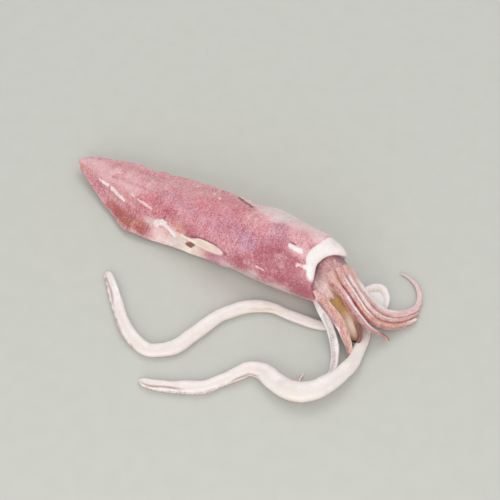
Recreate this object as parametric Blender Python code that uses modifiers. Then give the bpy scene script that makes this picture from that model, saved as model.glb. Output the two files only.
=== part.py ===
"""A whole raw squid lying on its belly: mantle with two fins, head, funnel, eight arms, two tentacles.

The mantle's axis runs along X, from the tail at -X to the head at +X. The table is the plane z = 0,
and the origin is in the middle of the flat stretch of belly that the animal rests on. The squid has
rolled a little to its right, so that its back leans towards -Y, and its head and arms bend that way.
"""

from math import cos, pi, radians, sin, sqrt

import bmesh
import bpy
from mathutils import Vector

GAP = 0.0004                      # between solids that touch in the animal

# Mantle: the body tube, closed at the tail and open at the collar
MANTLE_LENGTH = 0.251
MANTLE_WIDTH = 0.066
MANTLE_HEIGHT = 0.053
TAIL_X = -0.132
COLLAR_X = TAIL_X + MANTLE_LENGTH
FULL_FROM = 0.90                  # share of the length where the tube reaches its full size
TAIL_TAPER = 1.6                  # powers that draw the tube in towards the tail
TAIL_ROUNDNESS = 0.7
COLLAR_TAPER = 0.08
BELLY_SINK = 0.76                 # height of a section's centre, in half heights: the rest is flattened
TAIL_LIFT = 0.011
TAIL_LIFT_SHARE = 0.30
SWAY = 0.0045                     # bend of the tube towards -Y, the most behind its middle
SWAY_SHIFT = 0.75
MANTLE_SIDES = 18
MANTLE_RINGS = 12
FIRST_RINGS_CLOSER = 1.25         # power that crowds the rings at the tail
WALL = 0.0070
BELLY_WALL = 0.0045
COLLAR_DEPTH = 0.0085
COLLAR_LIP = 0.004                # length of the last stretch before the collar's edge
COLLAR_LIP_STEP = 0.001           # how far back the edge's inner side lies
COLLAR_FLARE = 0.0018
LIP_SHARE = 0.50                  # thickness of the collar's edge, as a share of the wall
FAR_LOBE = 0.020                  # how far the collar stands forward on each side of the head
FAR_LOBE_ANGLE = -85.0
FAR_LOBE_SPREAD = 75.0
NEAR_LOBE = 0.018
NEAR_LOBE_ANGLE = 95.0
NEAR_LOBE_SPREAD = 85.0

# Fins: two thin flaps, from the tail to past the middle, draped down the flanks
FIN_START_X = -0.124
FIN_END_X = 0.052
FIN_PEAK = 0.437                  # share of the fin's length where it is widest
FIN_RISE = 1.5                    # powers of its outline, behind and ahead of the widest place
FIN_FALL = 2.1
FIN_FLARE = 0.0160                # how far the near fin spreads past the flank, on the table
FIN_MARGIN = 0.0018               # the least that it reaches past the flank
FIN_ROOT_THICKNESS = 0.0028
FIN_EDGE_THICKNESS = 0.0014
FIN_STATIONS = 11
FIN_CLEARANCE = 0.0008            # before both skins are smoothed
NEAR_FIN_ANGLES = (84.0, 92.0)    # where it lies on the tube, from the middle of the back
FAR_FIN_ANGLES = (48.0, 70.0, 92.0)
FAR_FIN_DROP = 0.014              # how far the far fin hangs down the flank, at its widest
FAR_FIN_LEAST_DROP = 0.004
FAR_FIN_STANDOFF = 0.0035
FIN_BEND = 0.55                   # share of its fall that a fin has made where it turns outwards
FIN_LINE_POINTS = 5

# Head: from inside the collar to the crown that the arms spring from
HEAD_ROUTE = ((114.5, 0, 25.0), (128, -0.4, 26.2), (143.5, -9.6, 23.3), (153.6, -16.8, 20.7))
HEAD_HALF_WIDTHS = (0.0196, 0.0208, 0.0218, 0.0222)
HEAD_HALF_HEIGHTS = (0.0134, 0.0163, 0.0170, 0.0155)
HEAD_SIDES = 12
HEAD_RINGS = 7
EYE_RADIUS = 0.0075
EYE_SHARE = 0.50                  # place of the eyes along the head
EYE_PROUD = 0.0016
SOCKET_CLEARANCE = 0.0006
EYE_FACES = (14, 8)                # round and over the eye
SOCKET_FACES = (18, 10)
ROLL = 18.0                       # lean of the head's back towards -Y
EYE_ANGLE = 116.0                 # from the middle of the back, down either side

# Arms: base half width, half width at the middle, half width at the tip, and the route
# from the crown to the tip, as the arm lies
ARM_ROUTES = {
    "arm_1_left": (0.0040, 0.0034, 0.0014, (
        (158, -17, 32), (164, -18, 29.5), (172, -17.5, 24), (181, -19, 17.5), (192, -20, 13.5),
        (201, -17.5, 7.5), (210, -12, 4), (217, -3, 3), (221, 8, 2.2))),
    "arm_1_right": (0.0039, 0.0030, 0.0010, (
        (151, -26, 30), (157, -27.5, 31), (165, -26.5, 30.8), (174, -24.5, 26.5), (183, -26, 19.5),
        (192, -26.5, 14), (202, -24, 8), (209, -21, 3.2), (210.5, -23, 2))),
    "arm_2_left": (0.0040, 0.0034, 0.0016, (
        (163, -8, 27), (170, -10, 24.5), (178, -10, 16.5), (188, -11, 10.5), (198, -10, 5),
        (207, -6, 3.5), (214, 1.5, 3), (219, 12, 2.2))),
    "arm_2_right": (0.0034, 0.0041, 0.0016, (
        (146, -32, 24.5), (154.5, -32.7, 25), (162.5, -28.8, 22.8), (170.5, -27, 16.5), (177.5, -29, 10),
        (182, -34.5, 5.6), (183.5, -42, 3))),
    "arm_3_left": (0.0040, 0.0031, 0.0008, (
        (163, -4, 20), (170, -4, 14.5), (180, -2.5, 12), (190.5, -4, 9.5), (200, -1, 5), (208, 5, 3.6),
        (214, 13, 3.2), (215, 23, 2.8), (211, 33, 2.4), (203, 41, 2.0), (194, 44.5, 1.6), (186, 45, 1.4))),
    "arm_3_right": (0.0036, 0.0048, 0.0018, (
        (145.5, -29.5, 15.5), (152, -31.5, 16.5), (160, -35.6, 16.4), (169, -41.5, 13.6), (178, -48, 8.8),
        (185, -56.5, 5.2), (187.5, -66.5, 2.4))),
    "arm_4_left": (0.0042, 0.0055, 0.0020, (
        (159, -8, 12), (165, -3.5, 7.2), (170, 5, 6.3), (175, 13.5, 6.5), (181, 16.5, 6.4), (187, 13, 5.6),
        (190.5, 6, 4.4), (191.5, -1, 3), (190, -7, 2.4))),
    "arm_4_right": (0.0036, 0.0035, 0.0009, (
        (148, -22, 10), (151.5, -28, 8.2), (154.5, -34.5, 8.8), (159, -42.5, 8.8), (168, -49, 6.6),
        (174, -55, 5), (179, -65, 4), (182, -75, 3.8), (180.5, -85, 3.3), (174, -95, 2.9),
        (166, -101.5, 2.5), (161, -97, 2), (161, -88, 1.6))),
}
ARM_FLATNESS = 1.0
ARM_SIDES = 8

# Tentacles: half widths from the base to the tip, and the route. They are flattened by their
# own weight, and end in a club.
TENTACLE_ROUTES = {
    "tentacle_left": ((0.0034, 0.0042, 0.0049, 0.0048, 0.0058, 0.0060, 0.0066, 0.0066, 0.0059,
                       0.0059, 0.0052, 0.0051, 0.0038), (
        (153, -17, 13), (157, -20, 7), (161, -29, 2.7), (157.5, -36.5, 2.7), (148, -41, 3), (138, -43, 3.4),
        (124, -45, 3.8), (105, -47, 4), (89, -55, 4.2), (78, -67, 4.3), (71, -77, 4.4), (66, -91, 4.5),
        (61, -106, 4.5), (55, -122, 4.4), (45, -132, 4.2), (35, -137, 4), (19, -134, 3.8), (4, -126, 3.6),
        (-10, -114, 3.3), (-21, -104, 3.1), (-32, -94, 2.8), (-41.5, -87, 2.5))),
    "tentacle_right": ((0.0032, 0.0054, 0.0054, 0.0056, 0.0068, 0.0084, 0.0089, 0.0084, 0.0064,
                        0.0052, 0.0060, 0.0048, 0.0036), (
        (153, -20, 20), (159, -22, 17), (168, -17.5, 10.5), (177, -16, 5.6), (184, -19.5, 5.4),
        (187, -26, 5.3), (190, -36, 5.2), (192, -47, 6), (193.5, -61, 8), (191.5, -74, 10),
        (188, -86, 11.5), (181, -100, 12), (171, -109, 11), (159, -112, 9), (145, -110, 7.3),
        (131, -106.5, 5.8), (120, -110, 5), (115, -117, 4.6), (106, -130, 4.2), (96, -143, 4),
        (83, -151, 4), (70, -158, 3.8), (57, -163, 3.2), (45, -165, 2.4))),
}
TENTACLE_FLATNESS = 0.60
TENTACLE_SIDES = 8
POINT_SPACING = 0.0060            # between the points of an arm's or a tentacle's tube
CROWN_STUB = 0.003
CROWN_REACH = 0.030
WIDEST_SHARE = 0.45               # share of an arm's length where it has its middle half width
TIP_NARROWING = 1.25
TIP_ROUNDING = (0.86, 0.45)       # what the last two half widths are drawn in to

# Funnel: the short flattened spout under the neck
FUNNEL_ROUTE = ((115, 3, 8.2), (122, 3, 7.4), (132, 1, 4.6), (143, -2, 3.0))
FUNNEL_HALF_WIDTHS = (0.0060, 0.0064, 0.0062, 0.0046)
FUNNEL_FLATNESS = 0.30

# Colour, roughness and metallic value of each part
FINISHES = {
    "mantle": ((0.60, 0.25, 0.29), 0.35),
    "fin": ((0.55, 0.25, 0.24), 0.40),
    "head": ((0.66, 0.42, 0.38), 0.35),
    "arm": ((0.72, 0.47, 0.40), 0.35),
    "tentacle": ((0.86, 0.76, 0.71), 0.30),
    "funnel": ((0.82, 0.70, 0.66), 0.30),
    "eye": ((0.05, 0.05, 0.06), 0.10),
}


def start_empty():
    for old in list(bpy.data.objects):
        bpy.data.objects.remove(old, do_unlink=True)


def new_collection(name):
    collection = bpy.data.collections.new(name)
    bpy.context.scene.collection.children.link(collection)
    return collection


def finish(name, kind):
    """Material of its own for one part."""
    colour, roughness = FINISHES[kind]
    material = bpy.data.materials.new(name + "_skin")
    material.use_nodes = True
    shader = material.node_tree.nodes["Principled BSDF"]
    shader.inputs["Base Color"].default_value = (*colour, 1.0)
    shader.inputs["Roughness"].default_value = roughness
    shader.inputs["Metallic"].default_value = 0.0
    return material


def add_mesh_object(name, points, faces, kind, collection):
    mesh = bpy.data.meshes.new(name)
    mesh.from_pydata(points, [], faces)
    mesh.validate()
    mesh.shade_smooth()
    obj = bpy.data.objects.new(name, mesh)
    collection.objects.link(obj)
    if kind:
        mesh.materials.append(finish(name, kind))
    return obj


def subdivide(obj, levels=1):
    smooth = obj.modifiers.new("smooth", "SUBSURF")
    smooth.levels = levels
    smooth.render_levels = levels


def loft(rings, first_cap, last_cap):
    """Points and faces of a skin through closed rings. A cap is a point, or None for a flat end."""
    count = len(rings[0])
    points = [p for ring in rings for p in ring]
    faces = []
    for r in range(len(rings) - 1):
        for k in range(count):
            a = r * count + k
            b = r * count + (k + 1) % count
            faces.append((a, b, b + count, a + count))
    for cap, start, turn in ((first_cap, 0, -1), (last_cap, (len(rings) - 1) * count, 1)):
        edge = [start + k for k in range(count)][::turn]
        if cap is None:
            faces.append(tuple(edge))
        else:
            points.append(cap)
            middle = len(points) - 1
            faces += [(edge[k], edge[(k + 1) % count], middle) for k in range(count)]
    return points, faces


def smooth_route(points, spacing):
    """Points at an even spacing along one smooth curve through the given points."""
    knots = [0.0]
    for a, b in zip(points, points[1:]):
        knots.append(knots[-1] + sqrt((b - a).length))
    slopes = [(points[1] - points[0]) / (knots[1] - knots[0])]
    for i in range(1, len(points) - 1):
        before = (points[i] - points[i - 1]) / (knots[i] - knots[i - 1])
        after = (points[i + 1] - points[i]) / (knots[i + 1] - knots[i])
        weight = (knots[i] - knots[i - 1]) / (knots[i + 1] - knots[i - 1])
        slopes.append(before.lerp(after, weight))
    slopes.append((points[-1] - points[-2]) / (knots[-1] - knots[-2]))
    fine = []
    steps = 16
    for i in range(len(points) - 1):
        span = knots[i + 1] - knots[i]
        for step in range(steps):
            t = step / steps
            fine.append(
                points[i] * (2 * t**3 - 3 * t**2 + 1)
                + slopes[i] * span * (t**3 - 2 * t**2 + t)
                + points[i + 1] * (3 * t**2 - 2 * t**3)
                + slopes[i + 1] * span * (t**3 - t**2)
            )
    fine.append(points[-1].copy())
    reach = [0.0]
    for a, b in zip(fine, fine[1:]):
        reach.append(reach[-1] + (b - a).length)
    count = max(3, round(reach[-1] / spacing))
    even = []
    at = 0
    for i in range(count + 1):
        want = reach[-1] * i / count
        while at < len(fine) - 2 and reach[at + 1] < want:
            at += 1
        even.append(fine[at].lerp(fine[at + 1], (want - reach[at]) / (reach[at + 1] - reach[at])))
    return even


def blend_values(values, share):
    """Value at a share of the way along a row of evenly spaced values, eased between them."""
    place = share * (len(values) - 1)
    i = min(int(place), len(values) - 2)
    t = place - i
    return values[i] + (values[i + 1] - values[i]) * (3 * t**2 - 2 * t**3)


# Mantle


def fullness(share):
    """Size of the mantle's section along its length, as a share of its full size."""
    if share >= FULL_FROM:
        return 1.0 - COLLAR_TAPER * ((share - FULL_FROM) / (1.0 - FULL_FROM)) ** 2
    return (1.0 - (1.0 - share / FULL_FROM) ** TAIL_TAPER) ** TAIL_ROUNDNESS


def tail_lift(share):
    return TAIL_LIFT * max(0.0, 1.0 - share / TAIL_LIFT_SHARE) ** 2


def section(x):
    """Middle, half width, half height and lowest point of the mantle's section at x."""
    share = min(max((x - TAIL_X) / MANTLE_LENGTH, 0.0), 1.0)
    size = fullness(share)
    middle = -SWAY * sin(pi * share**SWAY_SHIFT)
    return middle, size * MANTLE_WIDTH / 2, size * MANTLE_HEIGHT / (1.0 + BELLY_SINK), tail_lift(share)


def on_mantle(x, angle, out=0.0):
    """Point on the section at x, at an angle from the top towards -Y, moved out by a distance."""
    middle, half_width, half_height, low = section(x)
    y = middle - (half_width + out) * sin(angle)
    z = low + half_height * BELLY_SINK + (half_height + out) * cos(angle)
    return Vector((x, y, max(z, low)))


def lobe(angle, middle, spread):
    """1 at the middle angle, falling to 0 over the spread of a lobe. Angles in degrees."""
    away = abs((angle - middle + 180.0) % 360.0 - 180.0)
    return 0.5 + 0.5 * cos(pi * min(away / spread, 1.0))


def collar_reach(angle):
    far = FAR_LOBE * lobe(angle, FAR_LOBE_ANGLE, FAR_LOBE_SPREAD)
    return far + NEAR_LOBE * lobe(angle, NEAR_LOBE_ANGLE, NEAR_LOBE_SPREAD)


def mantle(collection):
    """The tube, its free collar and the shallow open ring that the neck stands in."""
    angles = [360.0 * k / MANTLE_SIDES for k in range(MANTLE_SIDES)]
    rings = []
    for i in range(1, MANTLE_RINGS + 1):
        share = (i / MANTLE_RINGS) ** FIRST_RINGS_CLOSER
        x = TAIL_X + (MANTLE_LENGTH - COLLAR_LIP) * share
        rings.append([on_mantle(x, radians(a)) for a in angles])
    # share of the lobe's reach, share of the wall stepped inwards, step back from the collar's edge
    edge_rings = (
        (1.0, 0.0, 0.0),
        (1.0, LIP_SHARE, COLLAR_LIP_STEP),
        (0.2, 1.0, COLLAR_DEPTH / 2),
        (0.0, 1.0, COLLAR_DEPTH),
    )
    for reach, inwards, back in edge_rings:
        ring = []
        for a in angles:
            forward = collar_reach(a) * reach
            flare = COLLAR_FLARE * forward / FAR_LOBE
            point = on_mantle(COLLAR_X, radians(a), flare - WALL * inwards)
            point.x = COLLAR_X + forward - back
            point.z = max(point.z, BELLY_WALL * inwards)
            ring.append(point)
        rings.append(ring)
    tip = on_mantle(TAIL_X, 0.0) - Vector((0.001, 0.0, 0.0))
    points, faces = loft(rings, tip, None)
    obj = add_mesh_object("mantle", points, faces, "mantle", collection)
    subdivide(obj)
    return obj


# Fins


def fin_spread(share):
    """Outline of a fin: how far it reaches out along its length, as a share of the most."""
    if share < FIN_PEAK:
        return (share / FIN_PEAK) ** FIN_RISE
    return ((1.0 - share) / (1.0 - FIN_PEAK)) ** FIN_FALL


def fin_middle_line(x, side):
    """Points down the middle of the fin's thickness at x, from its root to its edge."""
    share = (x - FIN_START_X) / (FIN_END_X - FIN_START_X)
    spread = fin_spread(share)
    middle, half_width, half_height, low = section(x)
    out = FIN_CLEARANCE + FIN_ROOT_THICKNESS / 2
    if side < 0:
        wrap = NEAR_FIN_ANGLES
        y = middle - half_width - FIN_MARGIN - FIN_FLARE * spread
        z = tail_lift(share) + FIN_EDGE_THICKNESS / 2
    else:
        wrap = [-a for a in FAR_FIN_ANGLES]
        y = middle + half_width + FAR_FIN_STANDOFF
        hang = low + half_height * BELLY_SINK - FAR_FIN_LEAST_DROP - FAR_FIN_DROP * spread
        z = max(hang, FIN_EDGE_THICKNESS)
    line = [on_mantle(x, radians(a), out) for a in wrap]
    start = line[-1]
    edge = Vector((x, y, z))
    bend = Vector((x, start.y, start.z + (edge.z - start.z) * FIN_BEND))
    steps = FIN_LINE_POINTS - len(line)
    for k in range(1, steps + 1):
        t = k / steps
        line.append(start * (1 - t) ** 2 + bend * 2 * t * (1 - t) + edge * t**2)
    return line


def fin(name, side, collection):
    rings = []
    for i in range(FIN_STATIONS):
        x = FIN_START_X + (FIN_END_X - FIN_START_X) * i / (FIN_STATIONS - 1)
        line = fin_middle_line(x, side)
        outer = []
        inner = []
        for k, point in enumerate(line):
            along = line[min(k + 1, len(line) - 1)] - line[max(k - 1, 0)]
            normal = Vector((0.0, along.z, -along.y)).normalized() * side
            share = k / (len(line) - 1)
            half = (FIN_ROOT_THICKNESS + (FIN_EDGE_THICKNESS - FIN_ROOT_THICKNESS) * share) / 2
            outer.append(point - normal * half)
            inner.append(point + normal * half)
        ring = outer + inner[::-1]
        rings.append(ring if side < 0 else ring[::-1])
    points, faces = loft(rings, None, None)
    obj = add_mesh_object(name, points, faces, "fin", collection)
    subdivide(obj)
    return obj


# Head, eyes and funnel


def frame_at(route, i):
    """Place, sideways and upward directions at a point of a route."""
    ahead = (route[min(i + 1, len(route) - 1)] - route[max(i - 1, 0)]).normalized()
    sideways = Vector((0.0, 0.0, 1.0)).cross(ahead).normalized()
    return route[i], sideways, ahead.cross(sideways)


def head_sections():
    spacing = 0.001
    fine = smooth_route(metres(HEAD_ROUTE), spacing)
    last = len(fine) - 1
    sections = []
    for k in range(HEAD_RINGS):
        share = k / (HEAD_RINGS - 1)
        half_width = blend_values(HEAD_HALF_WIDTHS, share)
        half_height = blend_values(HEAD_HALF_HEIGHTS, share)
        sections.append((*frame_at(fine, round(share * last)), half_width, half_height))
    return sections


def head_point(cut, angle, out=0.0):
    place, sideways, up, half_width, half_height = cut
    return place - sideways * (half_width + out) * sin(angle) + up * (half_height + out) * cos(angle)


def head(collection, cutters):
    sections = head_sections()
    rings = []
    for cut in sections:
        rings.append([head_point(cut, 2 * pi * k / HEAD_SIDES) for k in range(HEAD_SIDES)])
    points, faces = loft(rings, None, None)
    obj = add_mesh_object("head", points, faces, "head", collection)
    # both flat ends stay flat when the cage is smoothed
    crease = obj.data.attributes.new("crease_edge", "FLOAT", "EDGE")
    last_start = (HEAD_RINGS - 1) * HEAD_SIDES
    for edge in obj.data.edges:
        a, b = edge.vertices
        at_end = max(a, b) < HEAD_SIDES or min(a, b) >= last_start
        crease.data[edge.index].value = 1.0 if at_end else 0.0
    subdivide(obj)
    for side, lean in (("left", -1), ("right", 1)):
        radius = EYE_RADIUS + SOCKET_CLEARANCE
        bpy.ops.mesh.primitive_uv_sphere_add(
            segments=SOCKET_FACES[0], ring_count=SOCKET_FACES[1], radius=radius, location=eye_place(lean))
        cutter = bpy.context.object
        cutter.name = "eye_socket_" + side
        move_to(cutter, cutters)
        cutter.hide_render = True
        cutter.display_type = "WIRE"
        cut = obj.modifiers.new("socket_" + side, "BOOLEAN")
        cut.operation = "DIFFERENCE"
        cut.object = cutter
    return obj


def eye_place(lean):
    """Centre of an eye: lean is -1 on the animal's left, at +Y, and 1 on its right."""
    sections = head_sections()
    cut = sections[round(EYE_SHARE * (HEAD_RINGS - 1))]
    return head_point(cut, radians(ROLL + lean * EYE_ANGLE), EYE_PROUD - EYE_RADIUS)


def move_to(obj, collection):
    for old in list(obj.users_collection):
        old.objects.unlink(obj)
    collection.objects.link(obj)


def eye(name, lean, collection):
    bpy.ops.mesh.primitive_uv_sphere_add(
        segments=EYE_FACES[0], ring_count=EYE_FACES[1], radius=EYE_RADIUS, location=eye_place(lean))
    obj = bpy.context.object
    obj.name = name
    obj.data.name = name
    obj.data.shade_smooth()
    obj.data.materials.append(finish(name, "eye"))
    move_to(obj, collection)
    return obj


# Arms, tentacles and funnel: tubes along a route


def oval(name, flatness, sides, guides):
    """Closed outline of a tube, one unit wide each way from its middle."""
    data = bpy.data.curves.new(name, "CURVE")
    data.dimensions = "2D"
    spline = data.splines.new("POLY")
    spline.points.add(sides - 1)
    for k in range(sides):
        angle = 2 * pi * (k + 0.5) / sides
        spline.points[k].co = (cos(angle), sin(angle) * flatness, 0.0, 1.0)
    spline.use_cyclic_u = True
    obj = bpy.data.objects.new(name, data)
    guides.objects.link(obj)
    obj.hide_render = True
    obj.display_type = "WIRE"
    return obj


def tube(name, route, radii, outline, kind, collection, crown=None):
    """A tube with its own half width at each point, made a closed mesh and cut at the crown."""
    data = bpy.data.curves.new(name, "CURVE")
    data.dimensions = "3D"
    data.twist_mode = "Z_UP"
    data.bevel_mode = "OBJECT"
    data.bevel_object = outline
    data.use_fill_caps = True
    spline = data.splines.new("POLY")
    spline.points.add(len(route) - 1)
    for point, place, radius in zip(spline.points, route, radii):
        point.co = (*place, 1.0)
        point.radius = radius
    curve = bpy.data.objects.new(name + "_route", data)
    collection.objects.link(curve)
    bpy.context.view_layer.update()
    evaluated = curve.evaluated_get(bpy.context.evaluated_depsgraph_get())
    mesh = bpy.data.meshes.new_from_object(evaluated)
    bpy.data.objects.remove(curve, do_unlink=True)
    weld(mesh, crown)
    mesh.name = name
    mesh.materials.clear()
    mesh.materials.append(finish(name, kind))
    mesh.shade_smooth()
    obj = bpy.data.objects.new(name, mesh)
    collection.objects.link(obj)
    return obj


def weld(mesh, crown=None):
    """Join the loose caps. With a crown, cut the base off flush with the crown's flat end."""
    work = bmesh.new()
    work.from_mesh(mesh)
    bmesh.ops.remove_doubles(work, verts=work.verts, dist=0.00001)
    if crown:
        place, ahead = crown
        base = {v for v in work.verts if (v.co - place).length < CROWN_REACH}
        near = [item for item in work.edges[:] + work.faces[:] if base.issuperset(item.verts)]
        near += list(base)
        bmesh.ops.bisect_plane(work, geom=near, plane_co=place, plane_no=ahead, clear_inner=True)
        rim = [edge for edge in work.edges if edge.is_boundary]
        bmesh.ops.holes_fill(work, edges=rim)
    bmesh.ops.recalc_face_normals(work, faces=work.faces)
    work.to_mesh(mesh)
    work.free()


def crown_plane():
    """Just ahead of the head's flat end: a point on it, and the way it faces."""
    place, sideways, up = head_sections()[-1][:3]
    ahead = sideways.cross(up)
    return place + ahead * GAP, ahead


def from_crown(points):
    """The route with a stub added that runs back into the head, to be cut flush."""
    ahead = crown_plane()[1]
    route = metres(points)
    return [route[0] - ahead * CROWN_STUB] + route


def metres(points):
    return [Vector(p) * 0.001 for p in points]


def rounded_tip(radii):
    """The last two half widths drawn in, so that the tip is blunt and round."""
    return radii[:-2] + [radii[-2] * TIP_ROUNDING[0], radii[-1] * TIP_ROUNDING[1]]


def arm(name, outline, collection):
    base, middle, tip, points = ARM_ROUTES[name]
    route = smooth_route(from_crown(points), POINT_SPACING)
    last = len(route) - 1
    radii = []
    for i in range(last + 1):
        share = i / last
        if share < WIDEST_SHARE:
            t = share / WIDEST_SHARE
            radii.append(base + (middle - base) * (3 * t**2 - 2 * t**3))
        else:
            t = (share - WIDEST_SHARE) / (1.0 - WIDEST_SHARE)
            radii.append(middle + (tip - middle) * t**TIP_NARROWING)
    return tube(name, route, rounded_tip(radii), outline, "arm", collection, crown_plane())


def tentacle(name, outline, collection):
    widths, points = TENTACLE_ROUTES[name]
    route = smooth_route(from_crown(points), POINT_SPACING)
    last = len(route) - 1
    radii = [blend_values(widths, i / last) for i in range(last + 1)]
    return tube(name, route, rounded_tip(radii), outline, "tentacle", collection, crown_plane())


def funnel(outline, collection):
    route = smooth_route(metres(FUNNEL_ROUTE), POINT_SPACING / 2)
    last = len(route) - 1
    radii = [blend_values(FUNNEL_HALF_WIDTHS, i / last) for i in range(last + 1)]
    return tube("funnel", route, radii, outline, "funnel", collection)


def main():
    start_empty()
    squid = new_collection("squid")
    cutters = new_collection("cutters_and_outlines")
    mantle(squid)
    fin("fin_left", 1, squid)
    fin("fin_right", -1, squid)
    head(squid, cutters)
    eye("eye_left", -1, squid)
    eye("eye_right", 1, squid)
    funnel(oval("funnel_outline", FUNNEL_FLATNESS, TENTACLE_SIDES, cutters), squid)
    arm_outline = oval("arm_outline", ARM_FLATNESS, ARM_SIDES, cutters)
    for name in ARM_ROUTES:
        arm(name, arm_outline, squid)
    tentacle_outline = oval("tentacle_outline", TENTACLE_FLATNESS, TENTACLE_SIDES, cutters)
    for name in TENTACLE_ROUTES:
        tentacle(name, tentacle_outline, squid)


main()
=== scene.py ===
"""A whole raw squid on a pale table: wet speckled skin, white collar, head, arms and long tentacles."""

from math import cos, pi, radians, sin

import bmesh
import bpy
import numpy as np
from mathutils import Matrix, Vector


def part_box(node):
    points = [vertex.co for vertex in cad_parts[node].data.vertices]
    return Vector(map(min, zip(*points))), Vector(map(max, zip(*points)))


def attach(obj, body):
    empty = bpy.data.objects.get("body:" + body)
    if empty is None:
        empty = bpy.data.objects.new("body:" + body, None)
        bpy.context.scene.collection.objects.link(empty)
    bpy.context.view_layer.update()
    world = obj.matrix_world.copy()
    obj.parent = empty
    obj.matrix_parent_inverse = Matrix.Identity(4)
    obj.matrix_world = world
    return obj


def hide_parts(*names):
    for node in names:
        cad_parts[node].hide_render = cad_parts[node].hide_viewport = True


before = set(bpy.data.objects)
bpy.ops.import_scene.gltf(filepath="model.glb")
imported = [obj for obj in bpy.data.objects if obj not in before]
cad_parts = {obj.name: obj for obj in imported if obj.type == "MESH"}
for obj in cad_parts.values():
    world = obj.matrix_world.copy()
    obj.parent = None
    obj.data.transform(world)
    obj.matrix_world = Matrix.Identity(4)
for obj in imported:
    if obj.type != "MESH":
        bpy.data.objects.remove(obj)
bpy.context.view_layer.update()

MM = 0.001                        # shapes are worked out in millimetres, and made in metres

# Camera
CAMERA_AZIMUTH = 30.5
CAMERA_ELEVATION = 55.0
CAMERA_DISTANCE = 1.075
CAMERA_TARGET = (0.05684, -0.00045, 0.0)
LENS = 85.0


def place_camera():
    a, e = radians(CAMERA_AZIMUTH), radians(CAMERA_ELEVATION)
    looks = Vector((-sin(a) * cos(e), cos(a) * cos(e), -sin(e)))
    camera = bpy.data.objects.new("camera", bpy.data.cameras.new("camera"))
    bpy.context.scene.collection.objects.link(camera)
    camera.data.lens = LENS
    camera.data.sensor_width = 36.0
    camera.data.clip_start = 0.05
    camera.data.clip_end = 20.0
    camera.location = Vector(CAMERA_TARGET) - looks * CAMERA_DISTANCE
    camera.rotation_euler = looks.to_track_quat("-Z", "Y").to_euler()
    bpy.context.scene.camera = camera
    bpy.context.scene.view_settings.view_transform = "Standard"


place_camera()

# ---------------------------------------------------------------- numbers and noise


def smooth(low, high, value):
    """0 below low, 1 above high, eased between. Works either way round."""
    t = np.clip((np.asarray(value, float) - low) / (high - low), 0.0, 1.0)
    return t * t * (3 - 2 * t)


def hump(value, middle, reach):
    """1 at the middle, eased to 0 at a reach either side."""
    t = np.clip(1 - np.abs((np.asarray(value, float) - middle) / reach), 0.0, 1.0)
    return t * t * (3 - 2 * t)


def lattice(corner, seed):
    """A fixed value from -1 to 1 for each corner of a unit grid."""
    n = (corner[..., 0] * 374761393 + corner[..., 1] * 668265263 + corner[..., 2] * 2147483647 + seed * 974711)
    n = (n ^ (n >> 13)) * 1274126177
    n = n & 0xFFFFFFFF
    n = (n ^ (n >> 16)) * 2246822519 & 0xFFFFFFFF
    return ((n ^ (n >> 15)) & 0xFFFF) / 32767.5 - 1.0


def noise(points, size, seed=0, octaves=1):
    """Soft noise from about -1 to 1, with lumps of a size in millimetres."""
    total = np.zeros(len(points))
    weight = 1.0
    for octave in range(octaves):
        p = np.asarray(points, float) / size * 2**octave + 17.3 * octave
        base = np.floor(p).astype(np.int64)
        f = p - base
        f = f * f * (3 - 2 * f)
        value = np.zeros(len(p))
        for dx in (0, 1):
            for dy in (0, 1):
                for dz in (0, 1):
                    share = (
                        (f[:, 0] if dx else 1 - f[:, 0])
                        * (f[:, 1] if dy else 1 - f[:, 1])
                        * (f[:, 2] if dz else 1 - f[:, 2])
                    )
                    value += share * lattice(base + np.array((dx, dy, dz)), seed + octave)
        total += value * weight
        weight *= 0.5
    return total


def smooth_route(points, spacing):
    """Points at an even spacing along one smooth curve through the given points."""
    points = np.asarray(points, float)
    gaps = np.sqrt(np.linalg.norm(np.diff(points, axis=0), axis=1))
    knots = np.concatenate(([0.0], np.cumsum(gaps)))
    rates = np.diff(points, axis=0) / gaps[:, None]
    share = (gaps[:-1] / (gaps[:-1] + gaps[1:]))[:, None]
    slopes = np.vstack((rates[:1], rates[:-1] * (1 - share) + rates[1:] * share, rates[-1:]))
    fine = []
    for i in range(len(points) - 1):
        t = np.linspace(0, 1, 24, endpoint=False)[:, None]
        span = knots[i + 1] - knots[i]
        fine.append(
            points[i] * (2 * t**3 - 3 * t**2 + 1) + slopes[i] * span * (t**3 - 2 * t**2 + t)
            + points[i + 1] * (3 * t**2 - 2 * t**3) + slopes[i + 1] * span * (t**3 - t**2))
    fine = np.vstack(fine + [points[-1:]])
    reach = np.concatenate(([0.0], np.cumsum(np.linalg.norm(np.diff(fine, axis=0), axis=1))))
    count = max(3, round(reach[-1] / spacing))
    want = np.linspace(0, reach[-1], count + 1)
    return np.stack([np.interp(want, reach, fine[:, k]) for k in range(3)], axis=1)


def eased(values, shares):
    """Values at shares of the way along a row of evenly spaced values, eased between them."""
    values = np.asarray(values, float)
    place = np.clip(shares, 0, 1) * (len(values) - 1)
    i = np.minimum(place.astype(int), len(values) - 2)
    t = place - i
    t = t * t * (3 - 2 * t)
    return values[i] * (1 - t) + values[i + 1] * t


def unit(vectors):
    return vectors / np.maximum(np.linalg.norm(vectors, axis=-1, keepdims=True), 1e-9)


# ---------------------------------------------------------------- meshes


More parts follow.
